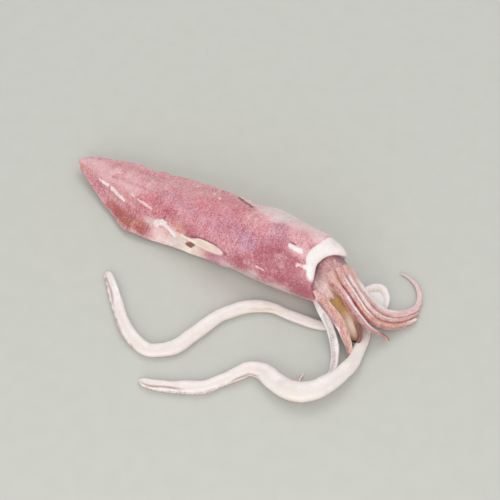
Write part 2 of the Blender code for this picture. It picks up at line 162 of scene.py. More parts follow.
def skin_object(name, rings, first_cap=True, last_cap=True):
    """A closed skin through an array of rings (stations, points round, 3), in millimetres."""
    stations, count = rings.shape[:2]
    points = rings.reshape(-1, 3) * MM
    index = np.arange(stations * count).reshape(stations, count)
    after = np.roll(index, -1, axis=1)
    quads = np.stack((index[:-1], after[:-1], after[1:], index[1:]), axis=-1).reshape(-1, 4)
    faces = [tuple(q) for q in quads.tolist()]
    points = points.tolist()
    for wanted, ring, turn in ((first_cap, index[0], -1), (last_cap, index[-1], 1)):
        if wanted:
            points.append((np.asarray([points[k] for k in ring]).mean(axis=0)).tolist())
            middle = len(points) - 1
            edge = ring[::turn].tolist()
            faces += [(edge[k], edge[(k + 1) % count], middle) for k in range(count)]
    mesh = bpy.data.meshes.new(name)
    mesh.from_pydata(points, [], faces)
    work = bmesh.new()
    work.from_mesh(mesh)
    bmesh.ops.recalc_face_normals(work, faces=work.faces)
    work.to_mesh(mesh)
    work.free()
    mesh.shade_smooth()
    obj = bpy.data.objects.new(name, mesh)
    bpy.context.scene.collection.objects.link(obj)
    return obj


def per_point(obj, values):
    """Values for the rings' points, with those of the caps' middles added."""
    values = np.asarray(values, float).reshape(-1, *np.shape(values)[2:])
    missing = len(obj.data.vertices) - len(values)
    return np.concatenate((values, np.repeat(values[-1:], missing, axis=0))) if missing else values


def add_number(obj, name, values):
    layer = obj.data.attributes.new(name, "FLOAT", "POINT")
    layer.data.foreach_set("value", per_point(obj, values).astype(np.float32))


def add_colour(obj, name, values):
    layer = obj.data.attributes.new(name, "FLOAT_COLOR", "POINT")
    flat = per_point(obj, values)
    layer.data.foreach_set("color", np.column_stack((flat, np.ones(len(flat)))).astype(np.float32).ravel())


def add_vector(obj, name, values):
    layer = obj.data.attributes.new(name, "FLOAT_VECTOR", "POINT")
    layer.data.foreach_set("vector", per_point(obj, values).astype(np.float32).ravel())


def grid_normals(rings):
    """Outward normals of a grid of rings."""
    along = np.gradient(rings, axis=0)
    around = np.roll(rings, -1, axis=1) - np.roll(rings, 1, axis=1)
    return unit(np.cross(around, along))


def mixed(under, over, share):
    """One colour laid over another by a share for each point."""
    share = np.clip(np.asarray(share, float), 0, 1)[..., None]
    return np.asarray(under, float) * (1 - share) + np.asarray(over, float) * share


def near_path(points, path):
    """Distance in millimetres from each point to a row of straight stretches between places."""
    path = np.atleast_2d(np.asarray(path, float))
    if len(path) == 1:
        return np.linalg.norm(points - path[0], axis=-1)
    best = np.full(points.shape[:-1], np.inf)
    for start, run in zip(path[:-1], np.diff(path, axis=0)):
        t = np.clip(((points - start) @ run) / max(run @ run, 1e-9), 0, 1)
        best = np.minimum(best, np.linalg.norm(points - (start + t[..., None] * run), axis=-1))
    return best


# ---------------------------------------------------------------- materials


class Finish:
    """A material being made: its nodes, added by plain calls."""

    def __init__(self, name):
        self.material = bpy.data.materials.new(name)
        self.material.use_nodes = True
        self.nodes = self.material.node_tree.nodes
        self.links = self.material.node_tree.links
        self.shader = self.nodes["Principled BSDF"]

    def put(self, value, socket):
        if isinstance(value, bpy.types.NodeSocket):
            self.links.new(value, socket)
        elif value is not None:
            socket.default_value = value

    def node(self, kind, **settings):
        node = self.nodes.new(kind)
        for key, value in settings.items():
            setattr(node, key, value)
        return node

    def place(self):
        return self.node("ShaderNodeTexCoord").outputs["Object"]

    def attribute(self, name, output="Fac"):
        return self.node("ShaderNodeAttribute", attribute_name=name).outputs[output]

    def maths(self, operation, a, b=None, c=None, clamp=False):
        node = self.node("ShaderNodeMath", operation=operation, use_clamp=clamp)
        for value, socket in zip((a, b, c), node.inputs):
            self.put(value, socket)
        return node.outputs[0]

    def range(self, value, low, high, to_low=0.0, to_high=1.0):
        node = self.node("ShaderNodeMapRange", interpolation_type="SMOOTHSTEP")
        for part, socket in zip((value, low, high, to_low, to_high), node.inputs):
            self.put(part, socket)
        return node.outputs[0]

    def noise(self, where, scale, detail=3.0, rough=0.55, distortion=0.0):
        node = self.node("ShaderNodeTexNoise")
        self.put(where, node.inputs["Vector"])
        for part, value in (("Scale", scale), ("Detail", detail), ("Roughness", rough), ("Distortion", distortion)):
            node.inputs[part].default_value = value
        return node.outputs["Fac"]

    def cells(self, where, scale, feature="F1", randomness=1.0, output="Distance"):
        node = self.node("ShaderNodeTexVoronoi", feature=feature)
        self.put(where, node.inputs["Vector"])
        node.inputs["Scale"].default_value = scale
        node.inputs["Randomness"].default_value = randomness
        return node.outputs[output]

    def stretch(self, where, scale):
        node = self.node("ShaderNodeMapping")
        self.put(where, node.inputs["Vector"])
        node.inputs["Scale"].default_value = scale
        return node.outputs["Vector"]

    def blend(self, share, under, over, mode="MIX"):
        node = self.node("ShaderNodeMix", data_type="RGBA", blend_type=mode)
        self.put(share, node.inputs[0])
        for colour, socket in ((under, node.inputs[6]), (over, node.inputs[7])):
            self.put((*colour, 1.0) if isinstance(colour, tuple) else colour, socket)
        return node.outputs[2]

    def bump(self, height, strength, distance, under=None):
        node = self.node("ShaderNodeBump")
        node.inputs["Strength"].default_value = strength
        node.inputs["Distance"].default_value = distance
        self.put(height, node.inputs["Height"])
        self.put(under, node.inputs["Normal"])
        return node.outputs["Normal"]

    def wet(self, colour, roughness, normal, coat=0.35, coat_roughness=0.12, flesh=0.12, depth=0.003):
        """Wet flesh: light goes a little way in, and a thin film of water lies on top."""
        inputs = self.shader.inputs
        self.put(colour, inputs["Base Color"])
        self.put(roughness, inputs["Roughness"])
        self.put(normal, inputs["Normal"])
        inputs["Coat Weight"].default_value = coat
        inputs["Coat Roughness"].default_value = coat_roughness
        inputs["IOR"].default_value = 1.4
        inputs["Subsurface Weight"].default_value = flesh
        inputs["Subsurface Radius"].default_value = (1.0, 0.45, 0.35)
        inputs["Subsurface Scale"].default_value = depth
        return self.material


def speckled_skin(name, dot_size=1.7, dot_colour=(0.30, 0.03, 0.06), coat=0.35):
    """Squid skin: the painted tint, fine dark red spots, mottling, pale grain that is partly skin and partly painted
    sheen, painted glints, and a wrinkled wet surface.
    """
    f = Finish(name)
    where = f.place()
    tint = f.attribute("tint", "Color")
    spots = f.attribute("spots")
    flow = f.attribute("flow", "Vector")
    grain = f.noise(where, 420.0, 4.0, 0.6)
    broad = f.noise(where, 90.0, 3.0, 0.55)
    streaks = f.noise(f.stretch(flow, (1.0, 0.28, 1.0)), 520.0, 3.0, 0.6)
    fine_grain = f.noise(where, 1150.0, 2.0, 0.5)
    clear = f.maths("MULTIPLY", f.range(spots, 0.0, 0.35, 0.15, 1.0),
                    f.range(f.attribute("tint"), 0.10, 0.36, 0.15, 1.0))
    # pale grain, partly the skin's own speckle and partly painted sheen; then painted glints, pale specks that stand in
    # for wet highlights
    colour = f.blend(f.maths("MULTIPLY", f.range(grain, 0.40, 0.70, 0.0, 0.26), clear), tint, (0.88, 0.60, 0.62))
    glints = f.maths("MULTIPLY", f.range(fine_grain, 0.52, 0.66, 0.0, 0.44), clear)
    colour = f.blend(glints, colour, (0.98, 0.74, 0.76))
    colour = f.blend(f.range(broad, 0.44, 0.72, 0.0, 0.14), colour, (0.42, 0.08, 0.13), "MULTIPLY")
    colour = f.blend(f.maths("MULTIPLY", f.range(streaks, 0.45, 0.75, 0.0, 0.6), spots), colour, (0.36, 0.03, 0.07))
    for size, reach, share in ((dot_size, 0.40, 0.8), (dot_size * 0.6, 0.42, 0.6)):
        distance = f.cells(where, 1000.0 / size)
        dots = f.range(distance, reach * 0.45, reach, 1.0, 0.0)
        amount = f.maths("MULTIPLY", dots, f.maths("MULTIPLY", spots, share))
        amount = f.maths("MULTIPLY", amount, f.range(f.noise(where, 160.0, 2.0), 0.25, 0.55))
        colour = f.blend(amount, colour, dot_colour)
    fine = f.bump(f.noise(where, 900.0, 3.0, 0.6), 0.30, 0.0006)
    normal = f.bump(f.noise(where, 260.0, 4.0, 0.6), 0.45, 0.0018, fine)
    rough = f.range(broad, 0.3, 0.7, 0.26, 0.42)
    return f.wet(colour, rough, normal, coat)


def pale_flesh(name, coat=0.4):
    """Translucent white flesh with the painted tint showing through a smooth wet surface."""
    f = Finish(name)
    where = f.place()
    tint = f.attribute("tint", "Color")
    cloud = f.noise(where, 120.0, 4.0, 0.6)
    grain = f.noise(where, 700.0, 3.0, 0.6)
    colour = f.blend(f.range(cloud, 0.40, 0.72, 0.0, 0.30), tint, (0.80, 0.66, 0.62))
    colour = f.blend(f.range(grain, 0.52, 0.75, 0.0, 0.25), colour, (0.93, 0.90, 0.87))
    normal = f.bump(grain, 0.22, 0.0008)
    normal = f.bump(cloud, 0.30, 0.0016, normal)
    rough = f.range(cloud, 0.3, 0.7, 0.24, 0.42)
    return f.wet(colour, rough, normal, coat, 0.10, 0.22, 0.004)


# ---------------------------------------------------------------- mantle and fins

TAIL_X = -132.0
MANTLE_LENGTH = 251.0
COLLAR_X = TAIL_X + MANTLE_LENGTH
MANTLE_HALF_WIDTH = 33.0
MANTLE_HALF_HEIGHT = 53.0 / 1.76
FULL_FROM = 0.90
BELLY_SINK = 0.76
FIN_START_X = -125.0
FIN_END_X = 53.0
FIN_PEAK_X = -47.0
# the outer edge of the near fin, and ahead of it the foot of the flank
NEAR_EDGE_X = (-132, -125, -111, -99, -85, -73, -60, -54, -48, -40, -24, -9, 7, 16, 31, 48, 62)
NEAR_EDGE_Y = (-1.5, -7.9, -14.9, -20.4, -27.8, -33.2, -40.2, -42.6, -43.2, -42.2, -40.4, -37.0, -35.2, -35.0, -32.6,
               -31.4, -29.4)

# places round the section: back, near fin, belly, far fin
BACK_POINTS, NEAR_POINTS, BELLY_POINTS, FAR_POINTS = 112, 63, 45, 60
MANTLE_STATIONS = 315

# how far the far fin, and ahead of it the bulging far flank, stand out of the tube at places along it
FAR_FIN_X = (-125, -104, -84, -64, -57, -53, -47, -42, -38, -32, -10, 8, 24, 36, 43, 47, 52, 58, 67, 78, 92, 106, 119)
FAR_FIN_OUT = (0.2, 1.0, 2.4, 3.4, 4.4, 3.6, 5.0, 4.8, 3.2, 4.4, 4.2, 3.7, 2.8, 2.4, 1.8, -0.8, 0.2, 2.4, 3.4, 2.8, 1.0,
               -1.0, -1.0)
TAIL_FULLNESS = 4.8               # how much fuller the tail's far side is than the tube


def fullness(share):
    blunt = 0.7 - 0.13 * smooth(0.035, 0.0, share)
    tail = (1.0 - (1.0 - np.minimum(share / FULL_FROM, 1.0)) ** 1.6) ** blunt
    collar = 1.0 - 0.08 * np.clip((share - FULL_FROM) / (1.0 - FULL_FROM), 0, 1) ** 2
    return np.where(share < FULL_FROM, tail, collar)


def hull(x, angle, out=0.0):
    """Places on the body tube: x, angle from the middle of the back towards -Y, step outwards."""
    share = np.clip((x - TAIL_X) / MANTLE_LENGTH, 0.0, 1.0)
    size = fullness(share)
    low = 11.0 * np.clip(1.0 - share / 0.30, 0, 1) ** 2
    a = np.radians(angle)
    half_height = size * MANTLE_HALF_HEIGHT
    y = -4.5 * np.sin(pi * share**0.75) - (size * MANTLE_HALF_WIDTH + out) * np.sin(a)
    rise = half_height * BELLY_SINK + (half_height + out) * np.cos(a)
    soft = 2.0 * size
    z = low + 0.5 * (rise + np.sqrt(rise**2 + soft**2))
    return np.stack(np.broadcast_arrays(x, y, z), axis=-1)


def lobe(angle, middle, spread):
    away = np.abs((angle - middle + 180) % 360 - 180)
    return 0.5 + 0.5 * np.cos(pi * np.minimum(away / spread, 1.0))


def collar_reach(angle):
    """How far the collar's skin stands forward at each angle round the body."""
    return 11.5 * lobe(angle, -44, 70) + 18.0 * lobe(angle, 95, 92)


def rim_width(angle):
    """How wide the collar's bare white rim is."""
    a = (np.asarray(angle, float) + 180) % 360 - 180
    near = np.clip((63 - a) / 50, 0, 1) ** 0.8
    far = 1 + 0.55 * smooth(0, -35, a) - 0.6 * smooth(-75, -105, a) - 0.75 * smooth(-100, -130, a)
    return 0.9 + 9.2 * near * far


def make_mantle():
    """The tube with both fins drawn out of it, the white rim of the collar and the ring inside it."""
    back = np.linspace(-46, 84, BACK_POINTS)
    near_fin = np.linspace(84, 126, NEAR_POINTS + 1)[1:]
    belly = np.linspace(126, 256, BELLY_POINTS + 1)[1:]
    far_fin = np.linspace(256, 314, FAR_POINTS + 2)[1:-1]
    angles = np.concatenate((back, near_fin, belly, far_fin))
    near = slice(BACK_POINTS, BACK_POINTS + NEAR_POINTS)
    far = slice(BACK_POINTS + NEAR_POINTS + BELLY_POINTS, None)
    rings = []
    shares = np.linspace(0, 1, MANTLE_STATIONS) ** 1.06
    for x in TAIL_X + 0.2 + (MANTLE_LENGTH - 0.2) * shares:
        full = TAIL_FULLNESS * float(smooth(-134, -116, x) * smooth(-56, -76, x))
        ring = hull(x, angles, full * lobe(angles, -72, 84))
        near_share = float(smooth(TAIL_X, TAIL_X + 9, x) * smooth(FIN_END_X + 12, FIN_END_X - 8, x))
        # near fin: out along its top, round its edge and back along the table
        root, foot, flank = hull(x, 84.0), hull(x, 126.0), hull(x, 96.0, 1.2)
        lift = foot[2]
        wave = 1.0 * sin(x * 0.11) + 0.6 * sin(x * 0.27 + 1.0)
        edge_y = np.interp(x, NEAR_EDGE_X, NEAR_EDGE_Y)
        spread = max(hull(x, 90.0)[1] - edge_y, 0.0)
        edge = np.array((x, edge_y, lift + 1.5 + max(wave, -0.6) * min(spread / 16, 1.0)))
        t = np.linspace(0, 1, NEAR_POINTS + 1)[1:]
        top = np.clip(t / 0.62, 0, 1)[:, None]
        control = np.array((x, flank[1] - 0.4 - 0.10 * spread, max(edge[2] + 1.0, flank[2] * 0.35)))
        over = root * (1 - top) ** 2 + control * 2 * top * (1 - top) + edge * top**2
        under = np.clip((t - 0.62) / 0.38, 0, 1)[:, None]
        below = np.array((x, edge[1] + 0.6, lift + 0.25))
        flap = np.where(t[:, None] <= 0.62, over, below * (1 - under) + foot * under)
        ring[near] = ring[near] * (1 - near_share) + flap * near_share
        # far fin: a soft flap that hangs against the far flank
        thick = np.interp(x, FAR_FIN_X, FAR_FIN_OUT)
        far_share = float(smooth(FIN_START_X, FIN_START_X + 10, x))
        fold = 0.86 - 0.20 * float(smooth(44, 56, x))
        u = np.linspace(0, 1, FAR_POINTS + 2)[1:-1]
        place = np.where(u < 0.22, 256 - 6 * u / 0.22, 250 + 64 * (u - 0.22) / 0.78)
        out = thick * (0.15 + 0.85 * smooth(0.22, 0.32, u) * smooth(1.0, fold, u)) * smooth(1.0, 0.97, u)
        out = out + full * lobe(place, -72, 84)
        ring[far] = ring[far] * (1 - far_share) + hull(x, place, out) * far_share
        rings.append(ring)
    rings = np.array(rings)
    # collar: the skin stands forward, then the white rim turns in over it
    reach = collar_reach(angles)
    along = rings[:, :, 0]
    rings[:, :, 0] = along + smooth(COLLAR_X - 36, COLLAR_X, along) * reach
    middle = np.array((COLLAR_X, 0.0, 21.5))
    forward = smooth(COLLAR_X - 20, COLLAR_X + 14, rings[:, :, 0])
    near_lobe, far_lobe = lobe(angles, 95, 80), lobe(angles, -80, 80)
    outwards = unit((rings - middle) * np.array((0, 1, 1)))
    curl = smooth(2, 14, rings[:, :, 0] - COLLAR_X)
    flare = forward * (0.5 - 1.8 * near_lobe - 0.6 * far_lobe) - curl * far_lobe * 5.0
    flare = flare + smooth(COLLAR_X - 8, COLLAR_X + 12, rings[:, :, 0]) * lobe(angles, -30, 44) * 3.4
    rings = rings + outwards * flare[..., None]
    edge = rings[-1]
    away = unit((edge - middle) * np.array((0, 1, 1)))
    ahead = np.array((1.0, 0, 0))
    width = rim_width(angles)[:, None]
    wall = 1.6 + 0.44 * width
    inner = []
    # share of the rim's width forward, share of the wall inwards
    for f, w in ((0.12, 0.03), (0.30, 0.10), (0.50, 0.22), (0.68, 0.38), (0.84, 0.57), (0.95, 0.78),
                 (1.0, 0.98), (0.96, 1.14), (0.82, 1.26), (0.60, 1.34), (0.3, 1.40)):
        inner.append(edge + ahead * width * f - away * wall * w)
    last = inner[-1]
    for step in (2, 4, 7, 10, 14, 18, 22):
        ring = last - away * (0.25 * step**0.5)
        ring[:, 0] = np.maximum(last[:, 0] - step * (1 + reach / 22), COLLAR_X - 22)
        inner.append(ring)
    rings = np.concatenate((rings, np.array(inner)))
    rings[:, :, 2] = np.maximum(rings[:, :, 2], 0.15)
    return rings, angles


SHADES = {
    "pearl": (0.75, 0.46, 0.48), "warm rose": (0.70, 0.37, 0.38), "rose": (0.66, 0.33, 0.37),
    "deep rose": (0.66, 0.27, 0.30), "mauve": (0.56, 0.26, 0.32), "lavender": (0.52, 0.28, 0.37),
    "red": (0.55, 0.19, 0.22), "crimson": (0.48, 0.17, 0.21), "dark crimson": (0.46, 0.17, 0.20),
    "blush": (0.81, 0.57, 0.58), "bone": (0.74, 0.65, 0.63), "cream": (0.90, 0.78, 0.66),
    "ash": (0.62, 0.48, 0.47), "peach": (0.72, 0.40, 0.36), "brown": (0.42, 0.13, 0.10),
    "white": (0.90, 0.85, 0.83), "ochre": (0.62, 0.33, 0.20), "dark": (0.20, 0.09, 0.09),
    "maroon": (0.30, 0.08, 0.11), "umber": (0.27, 0.12, 0.10), "shell pink": (0.86, 0.62, 0.60),
    "pink flesh": (0.74, 0.42, 0.44), "fin_gap_shade": (0.30, 0.11, 0.09),
}
# how the skin's colour drifts over the body: x, angle from the middle of the back, reach, shade
SKIN_ZONES = (
    (-122, 55, 10, "peach"), (-114, 0, 14, "pearl"), (-92, 5, 14, "pearl"), (-84, -50, 13, "warm rose"),
    (-63, 2, 16, "pearl"), (-71, 66, 12, "warm rose"), (-56, -43, 12, "warm rose"), (-36, 48, 10, "deep rose"),
    (-29, 2, 13, "warm rose"), (-14, 44, 7, "red"), (-10, 12, 12, "rose"), (0, -30, 14, "warm rose"),
    (6, 34, 9, "rose"), (12, 64, 6, "crimson"), (-4, 72, 7, "peach"), (22, -2, 12, "deep rose"),
    (30, 44, 10, "rose"), (41, -7, 10, "deep rose"), (40, 22, 9, "mauve"), (46, 90, 7, "mauve"),
    (53, 54, 9, "rose"), (63, 34, 8, "lavender"), (63, -3, 8, "warm rose"), (66, 77, 8, "crimson"),
    (71, 6, 8, "deep rose"), (71, -26, 9, "blush"), (80, -48, 12, "bone"), (88, 3, 9, "mauve"),
    (90, 42, 10, "crimson"), (100, 70, 10, "crimson"), (98, -32, 10, "blush"), (105, -7, 8, "warm rose"),
    (109, 42, 8, "dark crimson"), (112, 16, 6, "pearl"), (112, -36, 10, "blush"), (110, 74, 8, "dark crimson"),
    (124, 80, 8, "dark crimson"), (76, 106, 9, "ash"), (49, 122, 9, "ash"), (105, 104, 9, "ash"),
    (8, 112, 12, "cream"), (-24, 104, 10, "shell pink"), (-100, -85, 16, "warm rose"), (-60, -90, 16, "rose"),
    (-20, -85, 18, "warm rose"), (20, -90, 16, "rose"), (50, -75, 14, "blush"), (84, -90, 20, "blush"), (112, -80, 14, "blush"),
)
MM_PER_DEGREE = 0.52              # how far one degree round the body is on the skin

# tears, scuffs and stains of the skin, a few small painted highlights and one band of painted shade: shade, half width,
# height of its rim, path as x and angle
MARKS = (
    ("white", 1.3, 0.15, ((-98, -13, 17), (-87, -15, 19))),
    ("white", 1.9, 0.2, ((-82, -16.5, 19), (-74, -19, 18.6), (-65, -21.6, 17.7))),
    ("shell pink", 1.3, 0.1, ((-50, -20, 26.6), (-34, -23, 28.4))),
    ("shell pink", 1.2, 0.1, ((-47, -24, 7), (-36, -25, 7))),
    ("white", 3.4, 1.2, ((-25, -28, 17), (-22, -28, 22), (-15, -28.5, 24), (-9, -30, 21), (-3, -31, 20))),
    ("pink flesh", 2.0, -0.6, ((-20, -29, 16), (-17, -29, 18))),
    ("white", 2.0, 0.4, ((5, -31, 23), (17, -32, 24))),
    ("red", 1.8, -0.2, ((-1, -31, 25), (3, -31, 27))),
    ("shell pink", 1.0, 0.2, ((81, 70), (89, 71.5))),
    ("white", 2.1, 0.2, ((102, -10, 51), (108, -10, 50), (113, -9, 49))),
    ("white", 1.9, 0.2, ((116, -20, 43.5), (123, -18, 43.6))),
    ("maroon", 0.8, -0.1, ((97, -6, 52), (104, -7, 52), (110, -6, 50))),
    ("maroon", 0.6, -0.1, ((106, -13, 49), (112, -12, 48))),
    ("umber", 2.6, -0.3, ((7, -31, 15), (13, -32, 15), (16, -32, 19))),
    ("umber", 1.1, -0.2, ((14, -32, 20), (22, -32, 20))),
    # painted shade: a dark brown band in the gap at the far fin's front end
    ("fin_gap_shade", 2.2, -0.3, ((33, 21, 38), (40, 18.5, 42.5), (47, 15, 44.6), (51, 12.5, 46))),
    ("bone", 1.2, 0.2, ((26, 23, 36), (33, 22.5, 36), (40, 21, 39))),
    ("shell pink", 1.8, 0.0, ((-54, -58),)), ("shell pink", 1.6, 0.0, ((-38, -58),)),
    ("red", 2.4, 0.0, ((-47, -56),)), ("red", 2.6, 0.0, ((48, -16),)),
    ("shell pink", 1.5, 0.2, ((-7, -44),)), ("shell pink", 1.4, 0.2, ((13, -33),)),
    ("shell pink", 1.4, 0.2, ((21, -23),)), ("white", 2.2, 0.1, ((28, -57), (36, -57))),
    # the two short pale pink marks on the next line are painted highlights
    ("shell pink", 1.4, 0.2, ((-83, -6), (-79, -7))), ("shell pink", 1.3, 0.2, ((-70, -28), (-66, -30))),
    ("white", 1.5, 0.2, ((-90, -58),)), ("shell pink", 1.3, 0.2, ((-58, 44), (-55, 45))),
)
# wider stains: shade, strength, middle, reach
STAINS = (
    ("shell pink", 0.85, (-18, -31, 12), 9), ("bone", 0.8, (-2, -33, 11), 9), ("shell pink", 0.7, (-30, -33, 6), 8),
    ("ochre", 0.8, (2, -29, 29), 6), ("red", 0.6, (-8, -27, 32), 6), ("crimson", 0.6, (-30, -19, 36), 8),
    ("red", 0.55, (14, -27, 34), 8), ("shell pink", 0.6, (24, -34, 8), 10), ("bone", 0.6, (52, -33, 14), 10),
)
PATCH_MIDDLE, PATCH_HALF = (31.5, 26.5), (16.5, 5.4)


def paint_skin(p, x, a, outer):
    """Colour of the skin, and how high its scuffs and tears stand."""
    shape = x.shape
    weight = np.full(shape, 0.02)
    tint = np.array(SHADES["rose"]) * weight[..., None]
    for zone_x, zone_angle, reach, shade in SKIN_ZONES:
        far = ((x - zone_x) ** 2 + ((a - zone_angle) * MM_PER_DEGREE) ** 2) / (2 * (0.58 * reach) ** 2)
        w = np.exp(-np.minimum(far, 40)) * outer
        tint = tint + w[..., None] * np.array(SHADES[shade])
        weight = weight + w
    tint = tint / weight[..., None]
    tint = SHADES["rose"] + (tint - np.array(SHADES["rose"])) * 1.3
    flat = p.reshape(-1, 3)
    ragged = (noise(flat, 3.6, 91, 3) * 0.9 + noise(flat, 1.7, 92, 1) * 0.5).reshape(shape)
    band = hump(a, 15 + 6 * smooth(20, 60, x), 9) * smooth(-100, -70, x) * smooth(112, 95, x)
    tint = mixed(tint, SHADES["mauve"], band * 0.40)
    stripe = near_path(p, [hull(sx, sa) for sx, sa in ((-30, 5), (-4, 18), (18, 32), (40, 38), (62, 38), (84, 26))])
    tint = mixed(tint, SHADES["lavender"], smooth(4.0, 0.5, stripe + ragged) * 0.55)
    for shade, strength, middle, reach in STAINS:
        away = np.linalg.norm(p - np.array(middle, float), axis=-1) + ragged * reach * 0.22
        tint = mixed(tint, SHADES[shade], smooth(reach * 1.1, reach * 0.45, away) * strength * outer)
    # a bare cream patch of flesh, with the torn skin dark along its upper side
    patch = np.hypot((x - PATCH_MIDDLE[0]) / PATCH_HALF[0], (p[..., 2] - PATCH_MIDDLE[1] - 0.10 * (x - PATCH_MIDDLE[0])) / PATCH_HALF[1])
    on_near = smooth(-20, -27, p[..., 1]) * outer
    patch = patch + ragged * 0.05
    tint = mixed(tint, SHADES["maroon"], hump(patch, 1.12, 0.34) * smooth(0.0, 3.0, p[..., 2] - PATCH_MIDDLE[1]) * on_near)
    bare = smooth(1.04, 0.92, patch) * on_near
    tint = mixed(tint, SHADES["cream"], bare)
    height = -0.5 * bare
    bare = np.maximum(bare, smooth(1.5, 1.2, patch) * on_near)
    for shade, half, rim, path in MARKS:
        path = [place if len(place) == 3 else hull(*place) for place in path]
        away = near_path(p, path) + ragged * (0.30 + half * 0.35)
        inside = smooth(half * 1.15, half * 0.75, away) * outer
        tint = mixed(tint, SHADES[shade], inside)
        height = height + rim * hump(away, half, half * 0.9) * outer
        bare = np.maximum(bare, inside)
    return tint, height, bare


def mantle_object():
    rings, angles = make_mantle()
    shape = rings.shape[:2]
    normals = grid_normals(rings)
    outer = np.zeros(shape)
    outer[:MANTLE_STATIONS] = 1.0
    x = rings[:, :, 0].copy()
    a = np.broadcast_to(np.where(angles > 180, angles - 360, angles), shape)
    tint, height, torn = paint_skin(rings, x, a, outer)
    # soft folds and dents of the skin
    flat = rings.reshape(-1, 3)
    dent = (noise(flat, 34, 3, 2) * 0.55 + noise(flat * np.array((0.35, 1, 1)), 9, 5, 2) * 0.30
            + noise(flat, 4.2, 8, 2) * 0.16).reshape(shape)
    calm = smooth(0.4, 6.0, rings[:, :, 2])
    rings = rings + normals * ((dent * (0.35 + 0.65 * outer) + height) * calm)[..., None]
    rings[:, :, 2] = np.maximum(rings[:, :, 2], 0.12)
    obj = skin_object("mantle_and_fins", rings)
    p = rings.reshape(-1, 3)
    fin = np.zeros(shape)
    fin[:MANTLE_STATIONS, BACK_POINTS:BACK_POINTS + NEAR_POINTS] = 1.0
    flap = np.broadcast_to(np.clip((angles - 84) / 26, 0, 1), shape)
    near = fin * smooth(0.15, 0.5, flap)
    tint = mixed(tint, SHADES["warm rose"], near * smooth(-84, -100, x) * 0.6)
    tint = mixed(tint, SHADES["brown"], near * smooth(-92, -72, x) * smooth(-24, -36, x))
    tint = mixed(tint, SHADES["ochre"], near * hump(x, -46, 16) * 0.7 * smooth(-0.4, 0.5, noise(p, 6, 25, 2).reshape(shape)))
    tint = mixed(tint, SHADES["bone"], fin * smooth(0.80, 1.0, flap) * smooth(-110, -90, x) * 0.55)
    tint = mixed(tint, SHADES["shell pink"], near * hump(near_path(rings, ((-47, -24, 7), (-36, -25, 7))), 0, 1.8))
    belly = smooth(128, 150, np.abs(a))
    tint = mixed(tint, SHADES["bone"], belly * 0.85)
    rim_end = smooth(50, 64, a) * smooth(150, 130, a)
    tint = mixed(tint, SHADES["white"], (1 - outer) * (1 - rim_end))
    tint = mixed(tint, SHADES["dark crimson"], (1 - outer) * rim_end)
    edge = np.zeros(shape)
    bare_band = 0.8 + 1.6 * lobe(angles, -30, 50)
    edge[:MANTLE_STATIONS] = smooth(-1.2, 0.0, x[:MANTLE_STATIONS] + (bare_band - COLLAR_X - collar_reach(angles))[None, :]
                                    + noise(rings[:MANTLE_STATIONS].reshape(-1, 3), 2.5, 27, 2).reshape(MANTLE_STATIONS, -1) * 0.5)
    edge = edge * smooth(62, 46, a)
    tint = mixed(tint, SHADES["white"], edge)
    inside_lobe = (1 - outer) * smooth(-2, -30, a) * smooth(-100, -70, a)
    tint = mixed(tint, (0.84, 0.66, 0.58), inside_lobe * 0.6 * smooth(-0.3, 0.7, noise(p, 7, 29, 2).reshape(shape)))
    mottle = noise(p, 6.5, 21, 3).reshape(shape)
    tint = mixed(tint, mixed(tint, SHADES["blush"], 0.6), smooth(0.2, 1.0, mottle) * outer * 0.55)
    tint = mixed(tint, tint * np.array((0.92, 0.60, 0.66)), smooth(0.1, 0.9, -mottle) * outer * 0.6)
    tint = tint * (np.array((1.03, 0.90, 0.92)) + (1 - np.array((1.03, 0.90, 0.92))) * smooth(0.4, 0.65, tint[..., 1:2]))
    bare = smooth(0.30, 0.52, tint[..., 1])
    spots = (1 - 0.85 * belly) * outer * (1 - edge) * (1 - 0.75 * bare)
    spots = spots * (0.6 + 0.4 * smooth(-0.6, 0.6, noise(p, 14, 31, 2).reshape(shape))) * (1 - torn)
    add_colour(obj, "tint", tint)
    add_number(obj, "spots", spots)
    add_vector(obj, "flow", np.stack((x * MM, np.radians(a) * 30 * MM, np.zeros(shape)), axis=-1))
    obj.data.materials.append(speckled_skin("mantle_skin"))
    return obj


# ---------------------------------------------------------------- tubes: arms and tentacles


def route_frames(route, roll):
    """Sideways and back directions along a route, turned about it by a roll in degrees for each point."""
    ahead = unit(np.gradient(route, axis=0))
    side = unit(np.cross(np.array((0.0, 0.0, 1.0)), ahead))
    for i in range(1, len(side)):
        if side[i] @ side[i - 1] < 0:
            side[i] = -side[i]
        side[i] = unit(side[i] * 0.5 + side[i - 1] * 0.5 - ahead[i] * (side[i - 1] @ ahead[i]) * 0.5)
    back = np.cross(ahead, side)
    c, s = np.cos(np.radians(roll))[:, None], np.sin(np.radians(roll))[:, None]
    return side * c - back * s, back * c + side * s, ahead


def tube_rings(route, side, back, half, profile):
    """Rings round a route. The profile gives sideways and backward reach for each point round."""
    return (route[:, None, :] + side[:, None, :] * (profile[..., 0] * half[:, None])[..., None]
            + back[:, None, :] * (profile[..., 1] * half[:, None])[..., None])


